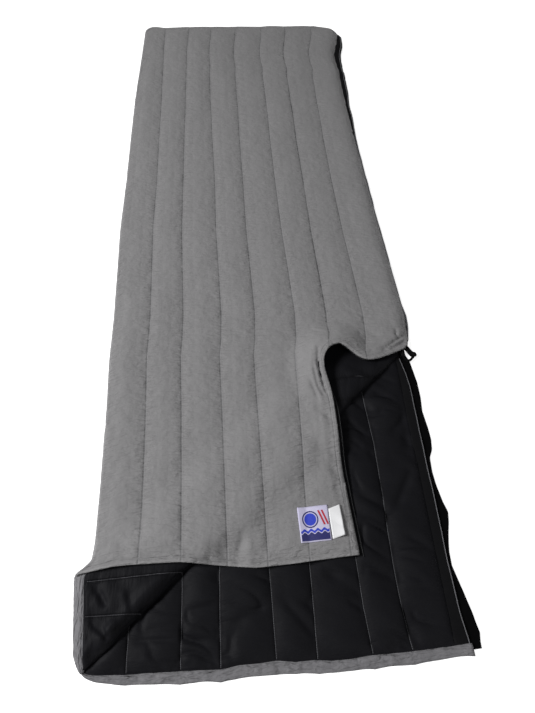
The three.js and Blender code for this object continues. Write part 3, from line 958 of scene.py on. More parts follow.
@dataclass
class Tuck:
    """The two layers of spare cloth that the pulled-in corner leaves at the left.

    Attributes:
        folds: Its puckers.
        creases: Its creases.
        legs: Steps in each stretch of its section: its start, the bend there, the layer
            below, the roll, the layer above and the hem.
        low: Height of its lowest middle.
    """

    folds: Puckers = Puckers(33.0, fine=0.15, broad=1.0, dents=2.6, crease=2.6, bow=-18.0)
    creases: Table = CREASES_TUCK
    legs: tuple[int, ...] = (2, 9, 12, 12, 46, 7)
    low: float = 5.0

    def row(self, y: float) -> Triple:
        """Draw the tuck's section at one place along the liner.

        Args:
            y: Place along the liner.

        Returns:
            Places across, heights, and shares of the full thickness.
        """
        here = np.array(y)
        rise = float(column(DIAGONAL, here, 2))
        reach = float(column(DIAGONAL, here)) + 0.8 * math.sin(y / 17.0)
        low = self.low
        first = low + (LOFT * 0.9 + LAYER_GAP) * rise
        second = first + (LOFT * 0.8 + LAYER_GAP) * rise
        # The layers roll over evenly and come down low at the diagonal.
        edge_first = first - 7.5 * rise
        edge_second = edge_first + 6.0 * rise
        roll = (edge_second - edge_first) / 2
        bend = (first - low) / 2
        is_open = y < TUCK
        into_arch = float(smooth(here, 560, 620))
        start = 0.0 if is_open else reach - TUCK + 30 - 80 * into_arch
        inner = reach - roll
        end = float(column(RIM, here)) if is_open else start + 8
        stretches: list[Triple] = []

        def add(x: Array, z: Array | float, share: Array | float) -> None:
            """Add a stretch of the section.

            Args:
                x: Its places across.
                z: Its heights.
                share: Its shares of the full thickness.
            """
            stretches.append((x, z + 0 * x, share + 0 * x))

        n_start, n_bend, n_under, n_roll, n_over, n_rim = self.legs
        if is_open:
            begin = start + bend
            add(np.linspace(begin + 8 * rise, begin, n_start, endpoint=False), low, 0.8)
            a = np.linspace(0, math.pi, n_bend, endpoint=False)
            add(start + bend * (1 - np.sin(a)), low + bend * (1 - np.cos(a)), 0.55)
        else:
            begin = start + 18
            add(np.linspace(start, begin, n_start + n_bend, endpoint=False), first, 0.8)
        under = np.linspace(begin, inner, n_under, endpoint=False)
        add(under, first + (edge_first - first) * smooth(under, inner - 30, inner), 0.85)
        a = np.linspace(0, math.pi, n_roll, endpoint=False)
        add(inner + roll * np.sin(a), edge_first + roll * (1 - np.cos(a)), 0.6)
        facing = min(float(column(FACING_TUCK, here)), 0.8 * (inner - end))
        # Steps crowd together where the cloth turns down.
        behind = (inner - end - facing) * np.linspace(0, 1, n_over, endpoint=False) ** 1.7
        crest = np.sqrt(1 - (1 - np.clip(behind / min(46.0, inner - end), 0, 1)) ** 2)
        crown = 4.5 * rise * np.exp(-(((behind - 26) / 15) ** 2))
        crown = crown * (1 - float(smooth(here, 165, 198)))
        over = edge_second + (second - edge_second) * crest + crown
        add(inner - behind, over, 1.0 - 0.35 * (1 - smooth(behind, 0, 20)))
        drop = np.linspace(0, 1, n_rim)
        dip = (3.0 + 5.0 * float(smooth(here, 130, 198))) * rise * is_open
        add(end + facing * (1 - drop), over[-1] - dip * drop**1.5, 0.7)
        x, z, share = (np.concatenate(part) for part in zip(*stretches))
        # Under the arch the spare cloth thins out towards its start.
        kept = 1 - 0.8 * into_arch * (1 - smooth(x - start, 0, 110))
        press = float(pressed(here))
        press = press + (1 - press) * smooth(x, 545, 605) * float(smooth(here, 480, 540))
        return x, low + (z - low) * kept * press, share

    @staticmethod
    def _lean(x: Array, y: Array) -> Array:
        """Read places along the tuck against its seams, which lean a little."""
        return y - 0.05 * (x - 60) * smooth(y, 120, 178)

    def build(self, cloth: Cloth) -> Piece:
        """Build the tuck.

        Args:
            cloth: The liner's cloths.

        Returns:
            The finished tuck.
        """
        count = sum(self.legs)
        # Rows crowd together at the two seams that show.
        to_first = ((14, 102, 3.3), (102, 120, 1.2))
        near = stations(*to_first, (120, 168, 4.0), (168, 188, 1.2), (188, TUCK - 1, 3.6))
        along = np.append(near, stations((TUCK + 1, 742, 5.4)))
        sheet = ClothMesh("quilt_tuck", np.arange(count, dtype=float), along)
        xs, zs, shares = zip(*(self.row(float(y)) for y in along))
        i = np.round(sheet.across).astype(int)
        j = np.searchsorted(along, sheet.along - 0.01)
        x, z, share = np.array(xs)[j, i], np.array(zs)[j, i], np.array(shares)[j, i]
        y = sheet.along
        over_from = sum(self.legs[:3])
        over = smooth(i.astype(float), over_from + 2, over_from + self.legs[3] + 3)
        rise = column(DIAGONAL, y, 2)
        z = z + over * rise * (1.6 * noise(x / 60, y / 55, 31.0) + 0.9)
        sheet.place(np.stack([x, y, z], 1))
        leaned = self._lean(x, y)
        lofted, _, _ = pillow(leaned, SEAMS_TUCK)
        from_rim = x - column(RIM, y)
        width = column(FACING_TUCK, y)
        facing = (y < TUCK) & (i >= over_from + self.legs[3])
        flat = np.where(facing, 1 - smooth(from_rim, width - 4, width + 22), 0.0)
        half = LOFT * 0.4 * rise * share * (0.42 + 0.58 * np.where(over > 0.2, lofted, 0.9))
        half = half * (1 - flat) + flat * rise * HEM_THICKNESS / 2
        folds = self.folds.height(leaned, x, SEAMS_TUCK)
        folds = folds + 1.4 * noise((x + y) / 34, (x - y) / 90, 36.0)
        folds = folds - creased(self.creases, x, y)
        folds = folds * over * rise * (1 - 0.85 * flat)
        stitch = 1.4 * np.exp(-(((from_rim - width) / 2.4) ** 2)) * facing
        ripple = noise(y / 12 + from_rim / 18, from_rim / 30, 38.0)
        ripple = ripple + 0.8 * noise(y / 6, from_rim / 11, 39.0)
        lining_side = half + folds - stitch + ripple * flat * rise
        # The two faces never cross.
        lining_side = np.maximum(lining_side, 0.9 - np.maximum(half - 0.3, 0.0))
        sheet.thicken(np.maximum(half, 0.3), lining_side)
        section = np.array(xs)

        def choose(u: Array, v: Array, side: Array) -> Array:
            """Choose the cloth.

            Args:
                u: Steps round the section.
                v: Places along the liner.
                side: 1 inside the roll and 0 outside it.

            Returns:
                The lining outside the roll, the shell inside it and the facing at the hem.
            """
            hem = (v < TUCK) & ((u > count - self.legs[5]) | (v < CORNER_FACED))
            above = np.where(hem, Side.FACING.value, Side.LINING.value)
            return np.where(side > 0.25, Side.SHELL.value, above)

        def across(u: Array, v: Array) -> Pair:
            """Find places across the liner.

            Args:
                u: Steps round the section.
                v: Places along the liner.

            Returns:
                The places across, and those where the hem's facing starts.
            """
            row = np.searchsorted(along, v - 0.01)
            k = np.clip(np.round(u).astype(int), 0, count - 1)
            return section[row, k], section[row, -self.legs[5]]

        def lay(u: Array, v: Array) -> Pair:
            """Lay the cloth map with its channels running across the liner."""
            return v, across(u, v)[0]

        def measure(u: Array, v: Array, at: Array) -> Pair:
            """Measure to the sewn lines.

            Args:
                u: Steps round the section.
                v: Places along the liner.
                at: Plan points.

            Returns:
                The distances to the nearest seam and to the hem.
            """
            in_hem = (v < TUCK) & (u > count - self.legs[5] - 1)
            seam = np.where(in_hem, 30.0, pillow(self._lean(at[:, 0], v), SEAMS_TUCK)[1])
            x, facing_start = across(u, v)
            edge = x - facing_start + HEM_STITCH + 1
            return seam, np.where((v < TUCK) & (u > over_from), edge, 100.0)

        return sheet.finish(cloth.slots, choose, measure, lay)


def srgb(code: str) -> tuple[float, float, float, float]:
    """Turn an sRGB hex code into a linear colour.

    Args:
        code: The code, from #000000 to #ffffff.

    Returns:
        The colour, with an alpha of 1.
    """
    parts = [int(code[k : k + 2], 16) / 255 for k in (1, 3, 5)]
    linear = [c / 12.92 if c <= 0.04045 else ((c + 0.055) / 1.055) ** 2.4 for c in parts]
    return (*linear, 1.0)


def add_node(
    tree: Tree,
    kind: str,
    inputs: Sequence[object] | dict[str | int, object] = (),
    output: str | int = 0,
    **settings: object,
) -> Socket | None:
    """Add a node with its settings, values and links.

    Args:
        tree: The material's node tree.
        kind: The node's type, without the words that all of them start with.
        inputs: Values, or the sockets to link from, in the inputs' order or by input.
        output: The output to give back.
        settings: Properties of the node.

    Returns:
        That output's socket, or none where the node has no outputs.
    """
    node = tree.nodes.new(f"ShaderNode{kind}")
    for name, value in settings.items():
        setattr(node, name, value)
    chosen = inputs if isinstance(inputs, dict) else dict(enumerate(inputs))
    for name, value in chosen.items():
        if isinstance(value, Socket):
            tree.links.new(value, node.inputs[name])
        else:
            node.inputs[name].default_value = value
    return node.outputs[output] if node.outputs else None


def material_tree(name: str) -> tuple[Material, Tree]:
    """Make an empty material with nodes.

    Args:
        name: What the material is.

    Returns:
        The material and its node tree.
    """
    made = bpy.data.materials.new(name)
    made.use_nodes = True
    made.node_tree.nodes.clear()
    return made, made.node_tree


@dataclass(frozen=True)
class ClothFinish:
    """A quilted woven cloth's finish.

    Attributes:
        name: What the cloth is.
        colour: Its colour as sRGB hex.
        thread: Colour of its sewing thread as sRGB hex.
        seam_shade: Share of its colour left at a seam, as painted shade.
        roughness: How dull it is.
        sheen: Strength of its soft nap.
        weave_mm: Spacing of its weave as drawn.
        stitch_mm: Length of a stitch.
        wrinkle: Strength of its fine wrinkles.
        hem_highlight: How much paler its pressed hem's edge is drawn, as a painted highlight.
        gloss: Strength of its reflections.
        faint_mm: How much fainter the hem's topstitch is, as millimetres added to its distance.
    """

    name: str
    colour: str
    thread: str
    seam_shade: float
    roughness: float = 0.85
    sheen: float = 0.15
    weave_mm: float = 1.5
    stitch_mm: float = 3.2
    wrinkle: float = 0.7
    hem_highlight: float = 1.0
    gloss: float = 0.22
    faint_mm: float = 0.5

    def material(self) -> Material:
        """Make the material: mottled colour, painted shade and highlight, stitches, weave and fine
        wrinkles.

        Returns:
            The finished material.
        """
        made, tree = material_tree(self.name)
        read = {
            "uv": add_node(tree, "UVMap", uv_map="cloth"),
            "place": add_node(tree, "TexCoord", output="Object"),
            "seam": add_node(tree, "Attribute", output="Fac", attribute_name="seam_mm"),
            "edge": add_node(tree, "Attribute", output="Fac", attribute_name="edge_mm"),
        }
        # Distance to the nearest sewn line: a channel seam or the hem's topstitch.
        hem = add_node(tree, "Math", (read["edge"], HEM_STITCH), operation="SUBTRACT")
        hem = add_node(tree, "Math", (hem,), operation="ABSOLUTE")
        read["hem"] = add_node(tree, "Math", (hem, self.faint_mm), operation="ADD")
        read["sewn"] = add_node(tree, "Math", (read["seam"], read["hem"]), operation="MINIMUM")

        inputs = {
            "Base Color": self._stitches(tree, read, self._colour(tree, read)),
            "Roughness": self.roughness,
            "Specular IOR Level": self.gloss,
            "Sheen Weight": self.sheen,
            "Sheen Roughness": 0.5,
            "Normal": self._relief(tree, read),
        }
        add_node(tree, "OutputMaterial", (add_node(tree, "BsdfPrincipled", inputs),))
        return made

    def _colour(self, tree: Tree, read: dict[str, Socket]) -> Socket:
        """Give the cloth its unevenness, painted shade at its seams and a painted highlight on its
        hem.

        Args:
            tree: The material's node tree.
            read: What the pattern reads, by name.

        Returns:
            The socket with the colour.
        """
        # Slight unevenness of dye and handling, some 40 mm across. A range reads its value,
        # the two ends of the value, and the results there.
        inputs = {"Vector": read["place"], "Scale": 24.0, "Detail": 4.0, "Roughness": 0.6}
        mottle = add_node(tree, "TexNoise", inputs, "Fac")
        level = add_node(tree, "MapRange", (mottle, 0.3, 0.7, 0.965, 1.035))
        # The cloth is drawn in at a seam and at the hem's topstitch, so less light reaches it
        # there: painted shade.
        # The pressed hem's edge is drawn paler: a painted highlight.
        for inputs in (
            (read["seam"], 0.0, 8.0, self.seam_shade, 1.0),
            (read["hem"], 0.0, 3.0, 0.5 + self.seam_shade / 2, 1.0),
            (read["edge"], 3.0, 7.0, self.hem_highlight, 1.0),
        ):
            share = add_node(tree, "MapRange", inputs, interpolation_type="SMOOTHSTEP")
            level = add_node(tree, "Math", (level, share), operation="MULTIPLY")
        inputs = {0: srgb(self.colour)[:3], "Scale": level}
        return add_node(tree, "VectorMath", inputs, operation="SCALE")

    def _stitches(self, tree: Tree, read: dict[str, Socket], colour: Socket) -> Socket:
        """Draw a line of stitches along every seam.

        Args:
            tree: The material's node tree.
            read: What the pattern reads, by name.
            colour: The cloth's colour.

        Returns:
            The socket with the colour.
        """
        x, y, _ = add_node(tree, "SeparateXYZ", (read["uv"],)).node.outputs
        along = add_node(tree, "Math", (x, y), operation="ADD")
        dash = add_node(tree, "Math", (along, self.stitch_mm * MM / 2), operation="PINGPONG")
        # A stitch shows for three quarters of its length.
        gap = self.stitch_mm * MM * 0.13
        lit = add_node(tree, "Math", (dash, gap), operation="GREATER_THAN")
        line = add_node(tree, "MapRange", (read["sewn"], 0.4, 0.8, 1.0, 0.0))
        share = add_node(tree, "Math", (lit, line), operation="MULTIPLY")
        inputs = {0: share, 6: colour, 7: srgb(self.thread)}
        return add_node(tree, "Mix", inputs, 2, data_type="RGBA")

    def _relief(self, tree: Tree, read: dict[str, Socket]) -> Socket:
        """Raise the weave, the fine wrinkles and the cloth beside the seams.

        Args:
            tree: The material's node tree.
            read: What the pattern reads, by name.

        Returns:
            The socket with the bumped normal.
        """
        uv, sewn = read["uv"], read["sewn"]
        # Plain weave: one wave for the warp and one for the weft, drawn coarser than life.
        repeat = 1.0 / (self.weave_mm * MM)
        scale = repeat * math.pi / 10
        inputs = {"Vector": uv, "Scale": scale, "Distortion": 0.8, "Detail": 1.0}
        waves = [
            add_node(tree, "TexWave", inputs, "Fac", wave_type="BANDS", bands_direction=direction)
            for direction in ("X", "Y")
        ]
        weave = add_node(tree, "Math", waves, operation="MAXIMUM")
        # Fine wrinkles across the channels, 6 to 8 mm apart and a few times as long.
        inputs = {"Vector": uv, "Rotation": (0.0, 0.0, 0.3), "Scale": (34.0, 150.0, 1.0)}
        inputs = {"Vector": add_node(tree, "Mapping", inputs), "Scale": 1.0}
        inputs |= {"Detail": 2.5, "Roughness": 0.5, "Distortion": 0.6}
        crinkle = add_node(tree, "TexNoise", inputs, "Fac")
        near_seam = add_node(tree, "MapRange", (sewn, 0.0, 30.0, 2.2, 0.8))
        crinkle = add_node(tree, "Math", (crinkle, near_seam), operation="MULTIPLY")
        # Small random dimples in the filling, some 20 mm across.
        inputs = {"Vector": read["place"], "Scale": 48.0, "Detail": 2.0, "Roughness": 0.5}
        dimples = add_node(tree, "TexNoise", inputs, "Fac")
        # The cloth dips sharply into each sewn line.
        inputs = (sewn, 0.0, 3.5, 0.0, 1.0)
        dip = add_node(tree, "MapRange", inputs, interpolation_type="SMOOTHSTEP")
        normal = None
        for height, depth_mm, strength in (
            (weave, 0.2, 0.5),
            (crinkle, 4.0, self.wrinkle),
            (dimples, 3.5, self.wrinkle),
            (dip, 1.6, 0.6),
        ):
            inputs = {"Height": height, "Distance": depth_mm * MM, "Strength": strength}
            if normal is not None:
                inputs["Normal"] = normal
            normal = add_node(tree, "Bump", inputs)
        return normal


@dataclass
class Cloth:
    """The liner's cloths, made once.

    Attributes:
        slots: Their materials, in the order of the cloth's sides.
    """

    # Matt plain-weave nylon in mid grey: even and dull, with painted shade at its seams, a painted
    # highlight along its hems, and fine crinkles.
    shell_finish: ClothFinish = ClothFinish(
        "grey_nylon_shell", "#8a898a", "#7a7a7c", seam_shade=0.9, hem_highlight=1.1
    )
    # The same weave dyed black, with a paler sewing thread that reads as fine dashes.
    lining_finish: ClothFinish = ClothFinish(
        "black_nylon_lining",
        "#18181b",
        "#5c5c60",
        seam_shade=0.7,
        roughness=0.56,
        sheen=0.0,
        wrinkle=0.2,
        gloss=0.07,
    )
    # The shell's own cloth turned in along the hems, pressed and crinkled, its colour set darker
    # than the shell's as painted shade.
    facing_finish: ClothFinish = ClothFinish(
        "grey_nylon_facing", "#7b7a7d", "#5a5a5c", seam_shade=0.75, wrinkle=1.0
    )
    slots: tuple[Material, ...] = field(init=False)

    def __post_init__(self) -> None:
        """Make the materials in the order of the cloth's sides."""
        finishes = {
            Side.SHELL: self.shell_finish,
            Side.LINING: self.lining_finish,
            Side.FACING: self.facing_finish,
        }
        self.slots = tuple(finishes[side].material() for side in Side)


class Weave(Enum):
    """The surface pattern of a small fitting."""

    SMOOTH = "smooth"
    HERRINGBONE = "herringbone"
    BRAID = "braid"
    SATIN = "satin"


@dataclass(frozen=True)
class TrimFinish:
    """The finish of a tape, cord, label or fitting.

    Attributes:
        name: What it is.
        colour: Its colour as sRGB hex.
        weave: Its surface pattern.
        pitch_mm: Repeat of the pattern.
        roughness: How dull it is.
        depth_mm: Depth of the pattern.
        gloss: Strength of its reflections, 0.5 for a hard polymer.
    """

    name: str
    colour: str
    weave: Weave = Weave.SMOOTH
    pitch_mm: float = 2.0
    roughness: float = 0.6
    depth_mm: float = 0.2
    gloss: float = 0.5

    def material(self) -> Material:
        """Make the material: the weave's ribs with painted shade between them, and a surface duller
        in places from handling.

        Returns:
            The finished material.
        """
        made, tree = material_tree(self.name)
        place = add_node(tree, "TexCoord", output="Object")
        rub = add_node(tree, "TexNoise", {"Vector": place, "Scale": 90.0}, "Fac")
        rough = (rub, 0.3, 0.7, self.roughness - 0.06, self.roughness + 0.06)
        shader = {
            "Base Color": srgb(self.colour),
            "Roughness": add_node(tree, "MapRange", rough),
            "Specular IOR Level": self.gloss,
        }
        if self.weave is not Weave.SMOOTH:
            height = self._pattern(tree)
            # The weave's hollows are drawn darker: painted shade.
            between = 0.97 if self.weave is Weave.SATIN else 0.75
            shade = add_node(tree, "MapRange", (height, 0.0, 1.0, between, 1.0))
            inputs = {0: srgb(self.colour)[:3], "Scale": shade}
            shader["Base Color"] = add_node(tree, "VectorMath", inputs, operation="SCALE")
            inputs = {"Height": height, "Distance": self.depth_mm * MM, "Strength": 0.8}
            shader["Normal"] = add_node(tree, "Bump", inputs)
        add_node(tree, "OutputMaterial", (add_node(tree, "BsdfPrincipled", shader),))
        return made

    def _pattern(self, tree: Tree) -> Socket:
        """Draw the pattern.

        Args:
            tree: The material's node tree.

        Returns:
            The socket with its height, from 0 to 1.
        """
        uv = add_node(tree, "UVMap", uv_map="cloth")
        across, along, _ = add_node(tree, "SeparateXYZ", (uv,)).node.outputs
        pitch = self.pitch_mm * MM
        if self.weave is Weave.SATIN:
            rib = add_node(tree, "Math", (along, pitch), operation="DIVIDE")
            return add_node(tree, "Math", (rib, 0.5), operation="PINGPONG")
        # Slanted ribs, which on a tape turn back every few millimetres across.
        turn = across
        if self.weave is Weave.HERRINGBONE:
            turn = add_node(tree, "Math", (across, pitch * 1.8), operation="PINGPONG")
        slant = add_node(tree, "Math", (along, turn), operation="ADD")
        slant = add_node(tree, "Math", (slant, pitch), operation="DIVIDE")
        rib = add_node(tree, "Math", (slant, 0.5), operation="PINGPONG")
        return add_node(tree, "Math", (rib, 2.0), operation="MULTIPLY")


@dataclass(frozen=True)
class PatchFinish:
    """The woven patch: a pale ground with a plain design of coloured shapes.

    Attributes:
        name: What it is.
        ground: Colour of its ground.
        blue: Colour of its large disc.
        navy: Colour of its ring and waves.
        red: Colour of its bars.
    """

    name: str = "woven_patch"
    ground: str = "#cfcbe6"
    blue: str = "#2a3ec2"
    navy: str = "#26286a"
    red: str = "#b8283a"

    def material(self) -> Material:
        """Make the material: a disc in a ring above waves, and two bars at the right.

        Returns:
            The finished material.
        """
        made, tree = material_tree(self.name)
        # The map is in metres from the patch's near left corner.
        uv = add_node(tree, "UVMap", uv_map="cloth")
        x, y, _ = add_node(tree, "SeparateXYZ", (uv,)).node.outputs
        ripple = add_node(tree, "Math", (x, 420.0), operation="MULTIPLY")
        ripple = add_node(tree, "Math", (ripple,), operation="SINE")
        wave = add_node(tree, "Math", (ripple, 0.0022, y), operation="MULTIPLY_ADD")
        middle = (0.027, 0.048, 0.0)
        away = add_node(tree, "VectorMath", (uv, middle), "Value", operation="DISTANCE")
        slope = add_node(tree, "Math", (y, 0.35, x), operation="MULTIPLY_ADD")
        from_side, from_end = (
            add_node(tree, "Math", (at, size * MM / 2), operation="PINGPONG")
            for at, size in zip((x, y), PATCH_SIZE)
        )
        margin = add_node(tree, "Math", (from_side, from_end), operation="MINIMUM")

        # Each shape's colour, and its limits: a value, an edge, and 1 for the side below it.
        shapes = [
            # A wavy band of navy under one of blue.
            (self.blue, ((wave, 0.026, 1),)),
            (self.ground, ((wave, 0.0205, 1),)),
            (self.navy, ((wave, 0.0185, 1),)),
            # The disc in its ring.
            (self.navy, ((away, 0.0185, 1),)),
            (self.ground, ((away, 0.0155, 1),)),
            (self.blue, ((away, 0.0135, 1),)),
        ]
        for start in (0.068, 0.076):
            sides = ((slope, start, -1), (slope, start + 0.0045, 1))
            shapes.append((self.red, (*sides, (y, 0.034, -1), (y, 0.066, 1))))
        # The plain hem of the patch.
        shapes.append((self.ground, ((margin, 0.0028, 1),)))
        colour: object = srgb(self.ground)
        soft = 0.0003  # about a thread's width
        for paint, limits in shapes:
            share: object = 1.0
            for value, edge, way in limits:
                inputs = (value, edge - way * soft, edge + way * soft, 1.0, 0.0)
                inside = add_node(tree, "MapRange", inputs)
                share = add_node(tree, "Math", (share, inside), operation="MULTIPLY")
            inputs = {0: share, 6: colour, 7: srgb(paint)}
            colour = add_node(tree, "Mix", inputs, 2, data_type="RGBA")

        # Fine horizontal ribs of the weave, 0.8 mm apart.
        rib = add_node(tree, "Math", (y, 0.0008), operation="DIVIDE")
        rib = add_node(tree, "Math", (rib, 0.5), operation="PINGPONG")
        relief = add_node(tree, "Bump", {"Height": rib, "Distance": 0.00025, "Strength": 0.6})
        inputs = {"Base Color": colour, "Roughness": 0.6, "Sheen Weight": 0.2, "Normal": relief}
        add_node(tree, "OutputMaterial", (add_node(tree, "BsdfPrincipled", inputs),))
        return made


@dataclass
class Route:
    """A line in the plan that a straight piece is bent along.

    Attributes:
        points: The line's points.
        run: The distance along it at each point.
        side: The direction to its right at each point.
    """

    points: Array
    run: Array = field(init=False)
    side: Array = field(init=False)

    def __post_init__(self) -> None:
        """Measure the line and find the direction to its right at each point."""
        steps = np.diff(self.points, axis=0)
        self.run = np.concatenate([[0.0], np.cumsum(np.linalg.norm(steps, axis=1))])
        ahead = np.gradient(self.points[:, :2], axis=0)
        ahead /= np.linalg.norm(ahead, axis=1)[:, None]
        self.side = np.stack([ahead[:, 1], -ahead[:, 0]], 1)

    @property
    def length(self) -> float:
        """Give the line's length."""
        return float(self.run[-1])

    def bend(self, across: Array, along: Array, height: Array) -> Array:
        """Take places beside a straight line to plan points beside this one.

        Args:
            across: Distances to the right of the line.
            along: Distances along it.
            height: Distances above it.

        Returns:
            Plan points.
        """
        x, y, z = (np.interp(along, self.run, values) for values in self.points.T)
        right, ahead = (np.interp(along, self.run, values) for values in self.side.T)
        return np.stack([x + right * across, y + ahead * across, z + height], 1)


def strip(
    name: str,
    material: Material,
    across: Array,
    along: Array,
    shape: Callable[[Array, Array], Array],
    thickness: float,
) -> Piece:
    """Make a thin strip of cloth or tape.

    Args:
        name: Its name.
        material: Its material.
        across: Its columns.
        along: Its rows.
        shape: Takes places across and along to plan points.
        thickness: Its thickness.

    Returns:
        The finished strip.
    """
    sheet = ClothMesh(name, across, along)
    sheet.place(shape(sheet.across, sheet.along))
    half = np.full(len(sheet.across), thickness / 2)
    sheet.thicken(half, half)
    return sheet.finish((material,))


@dataclass
class Coil:
    """A zip's nylon coil, wound along a route.

    Attributes:
        pitch: Distance between its turns.
        wire: Radius of its wire.
        width: Half its width.
        height: Half its height.
        sides: Sides of its wire.
        steps: Steps in one turn.
    """

    pitch: float = 1.6
    wire: float = 0.5
    width: float = 1.5
    height: float = 1.1
    sides: int = 5
    steps: int = 8

    def build(
        self,
        name: str,
        material: Material,
        route: Route,
        offset: Callable[[Array], Pair],
    ) -> Piece:
        """Wind the coil.

        Args:
            name: Its name.
            material: Its material.
            route: The line that it follows.
            offset: Gives its distances to the right of and above the route at places along it.

        Returns:
            The finished coil.
        """
        rows = int(route.length / self.pitch) * self.steps
        bm = bmesh.new()
        bmesh.ops.create_grid(bm, x_segments=self.sides, y_segments=rows, size=0.5)
        flat = np.array([vert.co[:] for vert in bm.verts])
        angle = (flat[:, 0] + 0.5) * 2 * math.pi
        along = (flat[:, 1] + 0.5) * (rows / self.steps) * self.pitch
        turned = 2 * math.pi * along / self.pitch
        reach = 1 + self.wire / self.width * np.cos(angle)
        aside, above = offset(along)
        across = aside + np.cos(turned) * (self.width - self.wire) * reach
        height = above + np.sin(turned) * (self.height - self.wire) * reach
        bent = route.bend(across, along + self.wire * np.sin(angle), height)
        move(bm, metres(bent))
        bmesh.ops.remove_doubles(bm, verts=bm.verts[:], dist=0.01 * MM)
        ends = [edge for edge in bm.edges if edge.is_boundary]
        bmesh.ops.holes_fill(bm, edges=ends, sides=self.sides + 1)
        bmesh.ops.recalc_face_normals(bm, faces=bm.faces[:])
        return link_mesh(name, bm, material)


@dataclass
class Zip:
    """The open side zip: its tapes and coils, the closed part, the flap, slider and pull.

    Attributes:
        tape_thickness: Thickness of the tapes.
        flap_thickness: Thickness of the flap.
        hang: How far the upper tape lies below the middle of the open edge.
        coil_reach: Distance of the upper coil from the line where its tape turns.
        coil_rise: Its distance above the tape.
        closed_end: Place along of the closed part's rounded end.
        slider_at: The slider's centre.
        slider_outline: Outline of its two plates, from that centre.
        slider_plate: Thickness of each plate.
        loop: The cord's line, from the slider to the moulded end, back beside that, then
            round the opening.
        cord_radius: The cord's radius.
        end_at: The moulded end's centre.
        end_size: Half of its length, width and height.
        end_turn: Its turn in the plan, in degrees.
    """

    # Matt black polyester tape with a fine herringbone, a shade above the lining.
    tape_finish: TrimFinish = TrimFinish(
        "black_zip_tape", "#111113", Weave.HERRINGBONE, 1.3, 0.9, gloss=0.15
    )
    # Black moulded nylon drawn mid grey: a painted highlight where its turns catch the light.
    highlight_coil_finish: TrimFinish = TrimFinish("nylon_coil_painted_highlight", "#76767a", roughness=0.38)
    # The coil's own black nylon, on the upper layer's half.
    dark_coil_finish: TrimFinish = TrimFinish("black_nylon_coil", "#2c2c2e", roughness=0.42)
    # The flap's black cloth, dull and close-woven.
    flap_finish: TrimFinish = TrimFinish(
        "black_flap_cloth", "#060607", Weave.HERRINGBONE, 1.2, 0.95, gloss=0.08
    )
    # Black painted die-cast metal, half glossy.
    slider_finish: TrimFinish = TrimFinish(
        "black_painted_metal", "#0a0a0b", roughness=0.55, gloss=0.3
    )
    # Braided black cord, slightly shiny.
    cord_finish: TrimFinish = TrimFinish(
        "black_braided_cord", "#070708", Weave.BRAID, 1.6, 0.9, gloss=0.12
    )
    # Moulded black rubber, dull.
    end_finish: TrimFinish = TrimFinish(
        "black_moulded_rubber", "#070708", roughness=0.8, gloss=0.15
    )
    tape_thickness: float = 1.2
    flap_thickness: float = 1.8
    hang: float = 3.4
    coil_reach: float = 7.6
    coil_rise: float = 1.5
    closed_end: float = 2262.0
    slider_at: tuple[float, float, float] = (761.0, 705.0, 9.0)
    slider_outline: Table = (
        (-4.2, -9.0), (4.2, -9.0), (6.4, 1.0), (5.6, 9.0),
        (1.5, 10.0), (-1.5, 10.0), (-5.6, 9.0), (-6.4, 1.0),
    )
    slider_plate: float = 1.6
    loop: Table = (
        (763, 722, 8), (770, 732, 8), (777, 725, 8), (784, 713, 8), (790, 703, 8),
        (786, 697, 8), (780, 705, 8), (773, 717, 8), (763, 719, 8), (763, 704, 9),
        (764, 689, 8), (772, 682, 8), (780, 684, 8), (790, 694, 8),
    )
    cord_radius: float = 3.6
    end_at: tuple[float, float, float] = (793.0, 700.0, 9.0)
    end_size: tuple[float, float, float] = (7.4, 6.8, 5.4)
    end_turn: float = -50.0

    def build(self) -> Pieces:
        """Build the zip.

        Returns:
            The pieces by name.
        """
        tape = self.tape_finish.material()
        # The lower and closed coils' grey is a painted highlight.
        coil = self.highlight_coil_finish.material()
        return {
            **self._below(tape, coil),
            **self._above(tape, self.dark_coil_finish.material()),
            **self._closed(tape, coil),
            **self._flap(),
            **self._slider(),
            **self._pull(),
        }

    def _below(self, tape: Material, coil: Material) -> Pieces:
        """Make the lower layer's tape and coil.

        Args:
            tape: The tape's material.
            coil: The coil's material.

        Returns:
            The pieces by name.
        """
        along = stations((16, 742, 5))

        def shape(a: Array, y: Array) -> Array:
            """Lay the tape from the lining's edge to its coil.

            Args:
                a: Places across it, from 0 to 1.
                y: Places along the liner.

            Returns:
                Plan points.
            """
            inner = column(ZIP_BELOW, y) - 9
            outer = column(ZIP_BELOW, y, 2) + 2.2
            waves = 0.9 * noise(y / 37, 0 * y, 41.0) * a
            z = 4.6 + 0.9 * np.sin(math.pi * a) + waves
            return np.stack([inner + (outer - inner) * a, y, z], 1)

        across = np.linspace(0, 1, 7)
        flat = strip("tape_below", tape, across, along, shape, self.tape_thickness)
        ys = np.linspace(16, 690, 230)
        zs = 5.2 + 0.9 * noise(ys / 37, 0 * ys, 41.0)
        route = Route(np.stack([column(ZIP_BELOW, ys, 2), ys, zs], 1))
        wound = Coil().build("coil_below", coil, route, lambda s: (0 * s, 1.7 + 0 * s))
        return {"tape_below": flat, "coil_below": wound}

    def _above(self, tape: Material, coil: Material) -> Pieces:
        """Make the upper layer's tape and coil, which turn under the layer at the arch.

        Args:
            tape: The tape's material.
            coil: The coil's material.

        Returns:
            The pieces by name.
        """
        route = Route(EDGE_LINE)

        def turn(s: Array) -> Array:
            """Give the tape's angle below level at places along the edge."""
            return 0.25 + 1.3 * smooth(s, 330, 440)

        def draw_in(s: Array) -> Array:
            """Say how far the tape lies further inside past the start of the arch."""
            return 6.0 * smooth(s, 340, 440)

